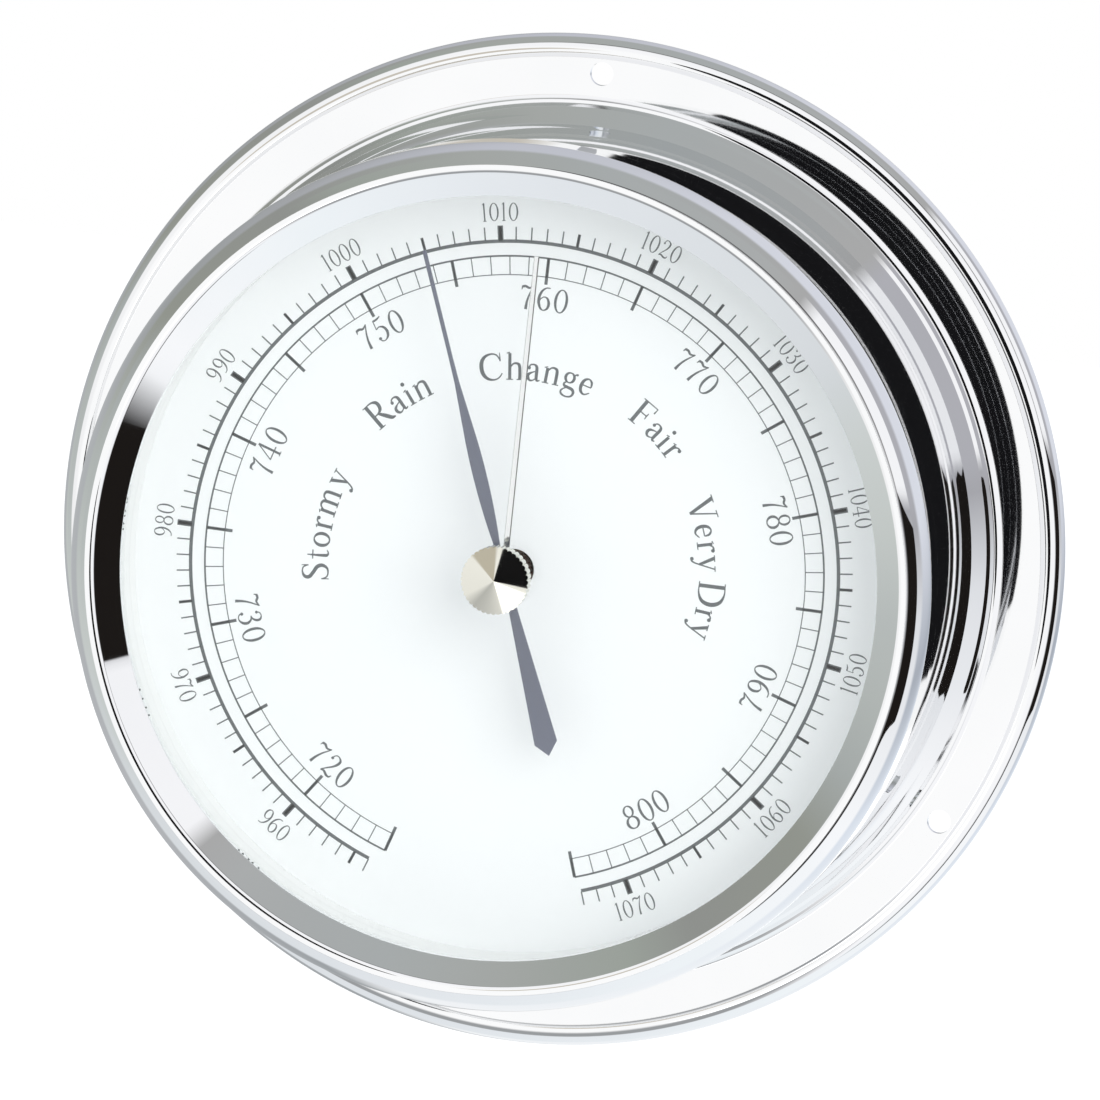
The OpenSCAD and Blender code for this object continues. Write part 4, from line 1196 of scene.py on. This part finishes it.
@dataclass
class Dial:
    """The white dial with its two pressure scales and weather words."""

    shop: Workshop
    outer_r: float = 59.8
    hole_r: float = 3.0
    back: float = 38.0
    face: float = 38.8
    ink: float = 0.012
    unit: float = 47.9
    scales: tuple[Scale, ...] = (HPA, MMHG)
    words: tuple[tuple[str, float, float], ...] = (
        ("Stormy", -84.4, 29.3), ("Rain", -41.2, 29.9), ("Change", 0.5, 29.6), ("Fair", 39.3, 29.9),
        ("Very Dry", 82.0, 29.3))
    word_face: Face = Face(3.95, 0.97, 1.08, 34)

    def __post_init__(self) -> None:
        """Under and upper side of the print, which is a thin body that the dial's face cuts through."""
        self.sides = (self.face - self.ink, self.face + self.ink)

    def plate(self) -> bpy.types.Mesh:
        """The dial's disc.

        Returns:
            The mesh, on the bench.
        """
        return self.shop.turned("dial_mesh", eased([
            (self.hole_r, self.back, 0.1), (self.outer_r, self.back, 0.15), (self.outer_r, self.face, 0.15),
            (self.hole_r, self.face, 0.12)], longest=8.0), Finishes.DIAL)

    def ticks(self, scale: Scale, step: int, inner: float, outer: float, width: float) -> bpy.types.Mesh:
        """A tick at each step of a scale.

        Args:
            scale: the scale.
            step: the reading from one to the next.
            inner: their inner radius, as a share of the main circle.
            outer: their outer radius, likewise.
            width: their width.

        Returns:
            The ticks, as thin closed bodies.
        """
        corners = ((-1, inner), (1, inner), (1, outer), (-1, outer))
        points = [(side * width / 2, r * self.unit, z) for z in self.sides for side, r in corners]
        faces = [(3, 2, 1, 0), (4, 5, 6, 7), (0, 1, 5, 4), (1, 2, 6, 5), (2, 3, 7, 6), (3, 0, 4, 7)]
        start = math.ceil(scale.ends[0] / step) * step
        count = (scale.ends[1] - start) // step + 1
        tick = self.shop.loose_mesh("tick", points, faces)
        return self.shop.copies(tick, count, scale.bearing(start), step * scale.degrees, Finishes.INK)

    def circle(self, scale: Scale, radius: float, width: float) -> bpy.types.Mesh:
        """A printed arc from end to end of a scale.

        Args:
            scale: the scale.
            radius: its radius, as a share of the main circle.
            width: its width.

        Returns:
            The arc, as a thin closed body.
        """
        start, stop = (scale.bearing(end) for end in scale.ends)
        steps = int(stop - start)
        middle = radius * self.unit
        points = [(*clock(angle, r), z) for angle in np.linspace(start, stop, steps + 1)
                  for r in (middle - width / 2, middle + width / 2) for z in self.sides]
        last = 4 * steps
        faces = [(0, 2, 3, 1), (last, last + 1, last + 3, last + 2)]
        for a in range(0, last, 4):
            faces += [(a + i, a + j, a + 4 + j, a + 4 + i) for i, j in ((1, 3), (2, 0), (3, 2), (0, 1))]
        return self.shop.loose_mesh("arc", points, faces)

    def line_of_print(self, text: str, angle: float, radius: float, tops: Tops, face: Face) -> bpy.types.Mesh:
        """Characters along an arc of the dial.

        Args:
            text: the characters.
            angle: where their middle is, in degrees from twelve o'clock.
            radius: radius of their middle height.
            tops: which way their tops point.
            face: how they are printed.

        Returns:
            The printed characters, as thin closed bodies.
        """
        scale = face.height / CAP_HEIGHT
        wide = scale * face.width
        advances = [GLYPHS[c].advance + face.space for c in text]
        pen = -sum(advances) / 2
        base = radius - tops.value * face.height / 2
        points, faces = [], []
        for character, advance in zip(text, advances):
            turn = math.radians(angle) + tops.value * (pen + advance / 2) * wide / radius
            pen += advance
            flat, triangles = GLYPHS[character].patch(face.weight)
            across = (flat[:, 0] - GLYPHS[character].advance / 2) * wide * tops.value
            out = base + flat[:, 1] * scale * tops.value
            x = out * math.sin(turn) + across * math.cos(turn)
            y = out * math.cos(turn) - across * math.sin(turn)
            first, count = len(points), len(flat)
            points += [(*p, z) for z in self.sides for p in zip(x.tolist(), y.tolist())]
            edges = {(t[i - 1], t[i]) for t in triangles for i in range(3)}
            faces += [[first + count + i for i in t] for t in triangles]
            faces += [[first + i for i in t[::-1]] for t in triangles]
            faces += [(first + i, first + j, first + count + j, first + count + i)
                      for i, j in edges if (j, i) not in edges]
        return self.shop.loose_mesh(text, points, faces)

    def rules(self) -> list[bpy.types.Mesh]:
        """Ticks and circles of both scales."""
        return ([self.ticks(scale, *row) for scale in self.scales for row in scale.ticks]
                + [self.circle(scale, *row) for scale in self.scales for row in scale.circles])

    def lines(self) -> list[bpy.types.Mesh]:
        """The numbers and words.

        Returns:
            A mesh for each.
        """
        made = []
        for scale in self.scales:
            for number in scale.numbers:
                tops = Tops.OUTWARD if number in scale.upright else Tops.INWARD
                made.append(self.line_of_print(
                    str(number), scale.bearing(number), self.unit * scale.print_r, tops, scale.face))
        for word, angle, radius in self.words:
            made.append(self.line_of_print(word, angle, radius, Tops.OUTWARD, self.word_face))
        return made

    def build(self) -> None:
        """Makes the dial and its print."""
        shop, ink = self.shop, Finishes.INK
        shop.piece("dial", self.plate(), Finishes.DIAL, "case", "dial_plate", "dial_white")
        shop.piece("dial_scales", shop.joined("scales", self.rules()), ink, "case", smooth=False)
        shop.piece("dial_lettering", shop.joined("lettering", self.lines()), ink, "case", smooth=False)


@dataclass
class Hands:
    """The main pointer, the set hand and the knob that turns it."""

    shop: Workshop
    pointer_z: float = 45.6
    pointer_t: float = 0.35
    pointer_turn: float = -20.655
    pointer_ease: float = 0.1
    pointer_bore: float = 1.32
    blade_at: float = 15.0
    blade_reach: float = 14.25
    blade_end: float = 20.0
    blade_w: float = 1.98
    needle_at: float = 29.5
    needle_w: float = 0.58
    pointer_l: float = 48.5
    tip_l: float = 0.4
    tail_l: float = 27.0
    tail_w: float = 3.36
    tail_point: float = 1.9
    neck_w: float = 0.7
    hub_r: float = 2.0
    foot_at: float = 1.2
    point: float = 0.02
    set_z: float = 46.5
    set_t: float = 0.25
    set_l: float = 46.6
    set_w: float = 0.95
    set_tip_w: float = 0.78
    set_turn: float = -0.5
    set_ease: float = 0.14
    set_bore: float = 1.02
    knob_r: float = 4.95
    knob_z: float = 50.8
    knob_h: float = 2.7
    knob_bore: float = 1.0
    bore_h: float = 0.6
    cone_h: float = 0.65
    serrations: int = 40
    serration_h: float = 0.34
    roundness: float = 0.97
    flank: int = 10

    def half_width(self, y: float) -> float:
        """Half width of the pointer.

        Args:
            y: distance above its centre, or below it where y is less than 0.

        Returns:
            The half width there.
        """
        neck, needle, shoulder = self.neck_w / 2, self.needle_w / 2, self.tail_l - self.tail_point
        if y < -shoulder:
            return self.tail_w / 2 * (self.tail_l + y) / self.tail_point
        if y < 0:
            return neck - (self.tail_w / 2 - neck) * y / shoulder
        if y <= self.blade_end:
            return max(self.blade_w / 2 * (1 - ((y - self.blade_at) / self.blade_reach) ** 2), neck)
        if y <= self.needle_at:
            start = self.half_width(self.blade_end)
            return start + (needle - start) * (y - self.blade_end) / (self.needle_at - self.blade_end)
        return needle * min(1.0, (self.pointer_l - y) / self.tip_l)

    def strip(self, outline: list[Point], low: float, high: float, ease: float,
              turn: float) -> bpy.types.Mesh:
        """A flat hand cut from sheet, with eased upper edges.

        Args:
            outline: pairs of height along the hand and half width, from its foot up.
            low: height of its under side.
            high: height of its upper side.
            ease: width of the eased edge.
            turn: its angle in degrees clockwise from twelve o'clock.

        Returns:
            The mesh, on the bench.
        """
        points = []
        for y, half in outline:
            inner, edge = max(half - ease, half * 0.3), high - ease * 0.7
            points += [(-half, y, low), (-half, y, edge), (-inner, y, high),
                       (inner, y, high), (half, y, edge), (half, y, low)]
        count, around = len(points), 6
        faces = [tuple(range(around)), tuple(range(count - 1, count - 1 - around, -1))]
        for start in range(0, count - around, around):
            for k in range(around):
                a, b = start + k, start + (k + 1) % around
                faces.append((a, a + around, b + around, b))
        mesh = self.shop.closed_mesh("strip", points, faces)
        mesh.transform(Matrix.Rotation(-math.radians(turn), 4, "Z"))
        return mesh

    def disc(self, radius: float, low: float, high: float, bore: float, finish: Finishes) -> bpy.types.Mesh:
        """A small turned disc with a bore."""
        profile = [(bore, low, 0.04), (radius, low, 0.06), (radius, high, 0.08), (bore, high, 0.04)]
        return self.shop.turned("boss", eased(profile, 0.02), finish, 72)

    def pointer(self) -> None:
        """Makes the main pointer: its blade, its tail and the disc that joins them."""
        shop, lacquer = self.shop, Finishes.POINTER
        low, high = self.pointer_z, self.pointer_z + self.pointer_t
        tail = [-self.tail_l + self.point, *np.linspace(-self.tail_l + self.tail_point, -self.foot_at, 12)]
        needle = np.linspace(self.blade_end + 1, self.pointer_l - self.tip_l, 8)
        blade = [self.foot_at, *np.linspace(2.0, self.blade_end, 26), *needle, self.pointer_l - self.point]
        parts = []
        for line in (blade, tail):
            outline = [(y, self.half_width(y)) for y in line]
            parts.append(self.strip(outline, low, high, self.pointer_ease, self.pointer_turn))
        parts.append(self.disc(self.hub_r, low, high, self.pointer_bore, lacquer))
        whole = shop.joined("pointer_mesh", parts)
        shop.piece("pressure_pointer", whole, lacquer, "pointer", "main_pointer", "pointer_grey")

    def set_hand(self) -> None:
        """Makes the set hand."""
        shop, polish = self.shop, Finishes.HAND
        low, high = self.set_z, self.set_z + self.set_t
        slope = (self.set_tip_w - self.set_w) / self.set_l
        outline = [(y, (self.set_w + slope * y) / 2) for y in np.linspace(self.foot_at, self.set_l, 12)]
        strip = self.strip(outline, low, high, self.set_ease, self.set_turn)
        whole = shop.joined("set_hand_mesh", [strip, self.disc(self.hub_r, low, high, self.set_bore, polish)])
        shop.piece("reference_hand", whole, polish, "set_hand", "set_hand", "polished_steel")

    def knob(self) -> None:
        """Makes the knob: rounded serrations round its side, which cut the rim of its low spun cone."""
        around = self.serrations * self.flank
        turn = np.arange(around) * 2 * math.pi / around
        across = (np.arange(around) % self.flank) / self.flank * 2 - 1
        ridge = self.serration_h * np.sqrt(1 - (self.roundness * across) ** 2)
        root, foot_z, top = self.knob_r - self.serration_h, self.knob_z, self.knob_z + self.knob_h
        roof = top - self.bore_h
        rings = [  # radius, height or None on the cone, and share of the serrations
            (self.knob_bore, roof, 0.0), (self.knob_bore, foot_z, 0.0), (root - 0.25, foot_z, 0.0),
            (root - 0.1, foot_z + 0.04, 0.5), (root, foot_z + 0.2, 1.0), (root, foot_z + 0.9, 1.0),
            (root, top - 0.3, 1.0), (root, None, 1.0), (root - 0.12, None, 0.8), (root - 0.4, None, 0.0),
            *[(r, None, 0.0) for r in np.linspace(root - 0.8, 0.03, 12)]]
        points = []
        for radius, height, share in rings:
            for angle, rise in zip(turn, ridge):
                out = radius + rise * share
                z = top + self.cone_h * (1 - out / root) if height is None else height
                points.append((out * math.sin(angle), out * math.cos(angle), z))
        count = len(points)
        points += [(0.0, 0.0, roof), (0.0, 0.0, top + self.cone_h)]
        faces = []
        for k in range(around):
            after = (k + 1) % around
            faces += [(count, k, after), (count - around + after, count - around + k, count + 1)]
            faces += [(i + k, i + around + k, i + around + after, i + after)
                      for i in range(0, count - around, around)]
        mesh = self.shop.closed_mesh("knob_mesh", points, faces)
        self.shop.piece("serrated_knob", mesh, Finishes.NICKEL, "set_hand", "set_knob", "chrome")

    def build(self) -> None:
        """Makes both hands and the knob."""
        self.pointer()
        self.set_hand()
        self.knob()


LEVEL_SPAN = 90  # degrees of height that a ramp of levels covers


@dataclass
class Studio:
    """A plain pale floor, soft light, the room that chrome and glass mirror, and the camera.

    The room is laid out by bearing, clockwise round the dial's axis in degrees, and by height in degrees
    above the wall's plane. Its ramps hold a bearing and a colour, or a bearing and a height.
    """

    camera_at: Triple = (0.3844, -2.23945, 0.3016)
    right: Triple = (0.97653, 0.18349, 0.11275)
    up: Triple = (-0.13440, 0.11013, 0.98479)
    back: Triple = (0.16828, -0.97683, 0.13221)
    lens: float = 509.4
    target: Triple = (0.0, -0.04, 0.0)
    floor_z: float = -0.32
    floor_size: float = 3.0
    floor_glow: float = 0.3
    floor_colour: Colour = (0.84, 0.84, 0.84)
    room_colour: Colour = (0.97, 0.985, 1.0)
    room_level: float = 0.98
    key_way: Triple = (0.785, -1.0, 0.437)
    key_far: float = 1.5
    key_level: float = 10.0
    key_size: float = 1.2
    key_colour: Colour = (1.0, 0.98, 0.95)
    mirrored_level: float = 1.05
    opening_way: Point = (0.788, 0.6157)
    opening_at: float = 0.1425
    opening_reach: Point = (0.2155, 0.285)
    opening_edge: float = 0.025
    opening_front: float = 0.375
    opening_fade: float = 0.25
    opening_colour: Colour = (0.008, 0.008, 0.009)
    patches: tuple[tuple[Triple, float, Colour], ...] = (
        ((0.046, -0.944, -0.327), 7.5, (1.9, 1.9, 1.9)), ((-0.294, -0.948, 0.125), 6.5, (0.58, 0.54, 0.47)))
    patch_edge: float = 0.003
    shelf_colour: Colour = (0.012, 0.010, 0.009)
    edge: float = 1.2
    upper_edge: float = 8.0
    roof_at: float = 37.0
    roof_blend: float = 5.0
    screen_top: float = 64.0
    screen_blend: float = 12.0
    behind_at: float = -18.0
    behind_blend: float = 10.0
    low_at: float = 3.5
    low_blend: float = 2.0
    walls: tuple = (
        (0, "a9adad"), (30, "adafaf"), (38, "ababab"), (42, "f8f8fa"), (74, "f8f8fa"), (77, "a8a8ad"),
        (95, "e0e2e6"), (130, "fbfcfe"), (160, "f2f7fa"), (180, "eaeef2"), (200, "e3e7eb"), (220, "dee2e5"),
        (230, "d8dcdf"), (240, "cdd2d0"), (250, "c6cbc8"), (260, "b9bebc"), (270, "b3b8b5"), (280, "a7acaa"),
        (290, "94978f"), (310, "929490"), (320, "9ca29b"), (340, "a6a9a6"), (360, "a9adad"))
    low_walls: tuple = (
        (0, "a9adad"), (38, "ababab"), (42, "b0b0b6"), (75, "b0b0b6"), (80, "a8a8ad"), (95, "e0e2e6"),
        (130, "fbfcfe"), (160, "f2f7fa"), (200, "e3e7eb"), (230, "d8dcdf"), (250, "c6cbc8"), (270, "b3b8b5"),
        (290, "94978f"), (310, "929490"), (340, "a6a9a6"), (360, "a9adad"))
    behind: tuple = (
        (0, "c5c7cf"), (20, "d5d7e0"), (80, "dcdfe8"), (105, "aab0ba"), (130, "dde4ee"), (160, "f0f4f8"),
        (195, "f4f6f8"), (205, "a0a4a7"), (230, "b6b8bb"), (270, "b0b3b5"), (290, "9c9fa0"), (310, "a5a7aa"),
        (340, "bfc1ca"), (360, "c5c7cf"))
    roof: tuple = (
        (0, "fafafc"), (155, "fafafc"), (170, "9c9ea0"), (222, "9c9ea0"), (235, "f4f4f4"), (360, "fafafc"))
    shelf_low: tuple = (
        (0, 34), (40, 34), (75, 34), (78, 20), (80, 3), (111, 3), (113, 20), (116, 26), (130, 25.5),
        (140, 25), (150, 26), (157, 33), (325, 33), (340, 34), (360, 34))
    shelf_high: tuple = (
        (0, 38), (20, 38), (40, 39), (60, 38), (80, 36), (120, 34), (140, 32), (157, 27), (325, 27),
        (345, 38), (360, 38))

    def floor(self) -> None:
        """The floor, well below the hung instrument. It is clear from its under side."""
        mesh = bpy.data.meshes.new("floor")
        with opened(mesh) as work:
            bmesh.ops.create_grid(work, x_segments=1, y_segments=1, size=self.floor_size,
                                  matrix=Matrix.Translation((0, 0, self.floor_z)))
        material = bpy.data.materials.new("pale floor")
        weave = emptied(material)
        seen = weave.rays("Is Camera Ray", "Is Glossy Ray", "Is Transmission Ray")
        pale = weave.node("ShaderNodeBsdfPrincipled", {}, {
            "Base Color": self.floor_colour, "Roughness": 0.8, "Emission Color": WHITE,
            "Emission Strength": seen * self.floor_glow})
        clear = weave.node("ShaderNodeBsdfTransparent", {}, {"Color": WHITE})
        below = weave.node("ShaderNodeNewGeometry", out="Backfacing")
        weave.node("ShaderNodeOutputMaterial", {}, {"Surface": weave.layered(below, pale, clear)})
        mesh.materials.append(material)
        made = placed("floor", mesh)
        made.visible_glossy = False

    def ramp(self, turn: Sock, stops: tuple) -> Sock:
        """A colour or height that changes with the bearing.

        Args:
            turn: the bearing, as a share of the full round.
            stops: pairs of a bearing in degrees, and a colour in hex digits or a height in degrees.

        Returns:
            The colour, or the height as a share of LEVEL_SPAN.
        """
        colours = [(bearing / 360, srgb(look) if isinstance(look, str) else (look / LEVEL_SPAN,) * 3)
                   for bearing, look in stops]
        return turn.weave.node("ShaderNodeValToRGB", {"stops": colours}, {0: turn})

    def surroundings(self, weave: Weave) -> Sock:
        """What metal and glass mirror: pale walls, a ceiling, a dark shelf, cards and a dark opening.

        Args:
            weave: the world's weave.

        Returns:
            The colour in each direction.
        """
        way = weave.node("ShaderNodeTexCoord", out="Generated")
        parts = weave.node("ShaderNodeSeparateXYZ", {}, {0: way})
        x, z, ahead = parts.of("X"), parts.of("Z"), parts.of("Y") * -1
        turn = (x.maths("ARCTAN2", z) / (2 * math.pi) + 1) % 1.0
        lift = ahead.maths("ARCSINE") * (180 / math.pi)
        walls = weave.mix(lift.past(self.low_at, self.low_blend), self.ramp(turn, self.low_walls),
                          self.ramp(turn, self.walls))
        sides = weave.mix(lift.past(self.behind_at, self.behind_blend), self.ramp(turn, self.behind), walls)
        ceiling = weave.mix(lift.past(self.screen_top, self.screen_blend), self.ramp(turn, self.roof), WHITE)
        whole = weave.mix(lift.past(self.roof_at, self.roof_blend), sides, ceiling)
        low, high = (self.ramp(turn, stops) * LEVEL_SPAN for stops in (self.shelf_low, self.shelf_high))
        shelf = lift.past(low, self.edge) * (1 - lift.past(high, self.upper_edge))
        shown = weave.mix(shelf, whole, self.shelf_colour)
        for at, half, colour in self.patches:
            facing = weave.node("ShaderNodeVectorMath", {"operation": "DOT_PRODUCT"}, {0: way, 1: at},
                                "Value")
            shown = weave.mix(facing.past(math.cos(math.radians(half)), self.patch_edge), shown, colour)
        along = x * self.opening_way[0] + z * self.opening_way[1]
        aside = x * self.opening_way[1] - z * self.opening_way[0]
        half_long, half_wide = self.opening_reach
        far = ((along - self.opening_at) / half_long) ** 2.0 + (aside / half_wide) ** 2.0
        hole = (1 - far.past(1.0, self.opening_edge)) * ahead.past(self.opening_front, self.opening_fade)
        return weave.mix(hole, shown, self.opening_colour)

    def room(self) -> None:
        """The room's light: plain on the object, and its surroundings where metal or glass mirrors them."""
        world = bpy.data.worlds.new("room")
        bpy.context.scene.world = world
        weave = emptied(world)
        around = self.surroundings(weave), self.mirrored_level
        plain, mirrored, white = (
            weave.node("ShaderNodeBackground", {}, {"Color": colour, "Strength": level})
            for colour, level in ((self.room_colour, self.room_level), around, (WHITE, 1.0)))
        lit = weave.layered(weave.rays("Is Glossy Ray"), plain, mirrored)
        whole = weave.layered(weave.rays("Is Camera Ray", "Is Transmission Ray"), lit, white)
        weave.node("ShaderNodeOutputWorld", {}, {"Surface": whole})

    def key(self) -> None:
        """A soft lamp up and to the right."""
        lamp = bpy.data.lights.new("key", "AREA")
        lamp.energy, lamp.size, lamp.color = self.key_level, self.key_size, self.key_colour
        made = placed("key", lamp)
        out = Vector(self.key_way).normalized()
        made.location = Vector(self.target) + out * self.key_far
        made.rotation_mode = "QUATERNION"
        made.rotation_quaternion = out.to_track_quat("Z", "Y")
        made.visible_glossy = made.visible_camera = False

    def camera(self) -> None:
        """The camera at the photograph's place and angle."""
        data = bpy.data.cameras.new("camera")
        data.sensor_width, data.lens = 36.0, self.lens
        data.clip_start, data.clip_end = 0.05, 50.0
        made = placed("camera", data)
        turn = Matrix((self.right, self.up, self.back)).transposed()
        made.matrix_world = Matrix.Translation(self.camera_at) @ turn.to_4x4()
        bpy.context.scene.camera = made

    def build(self) -> None:
        """Sets the stage."""
        bpy.context.scene.view_settings.view_transform = "Standard"
        self.room()
        self.floor()
        self.key()
        self.camera()


def main() -> None:
    """Builds the classes in order and reports each piece."""
    logging.basicConfig(level=logging.INFO, format="%(name)s: %(message)s")
    dresser = Dresser()
    dresser.dress_nodes()
    shop = Workshop(dresser)
    for part in (Case(shop), Window(shop), Dial(shop), Hands(shop), Studio()):
        part.build()


if __name__ == "__main__":
    main()
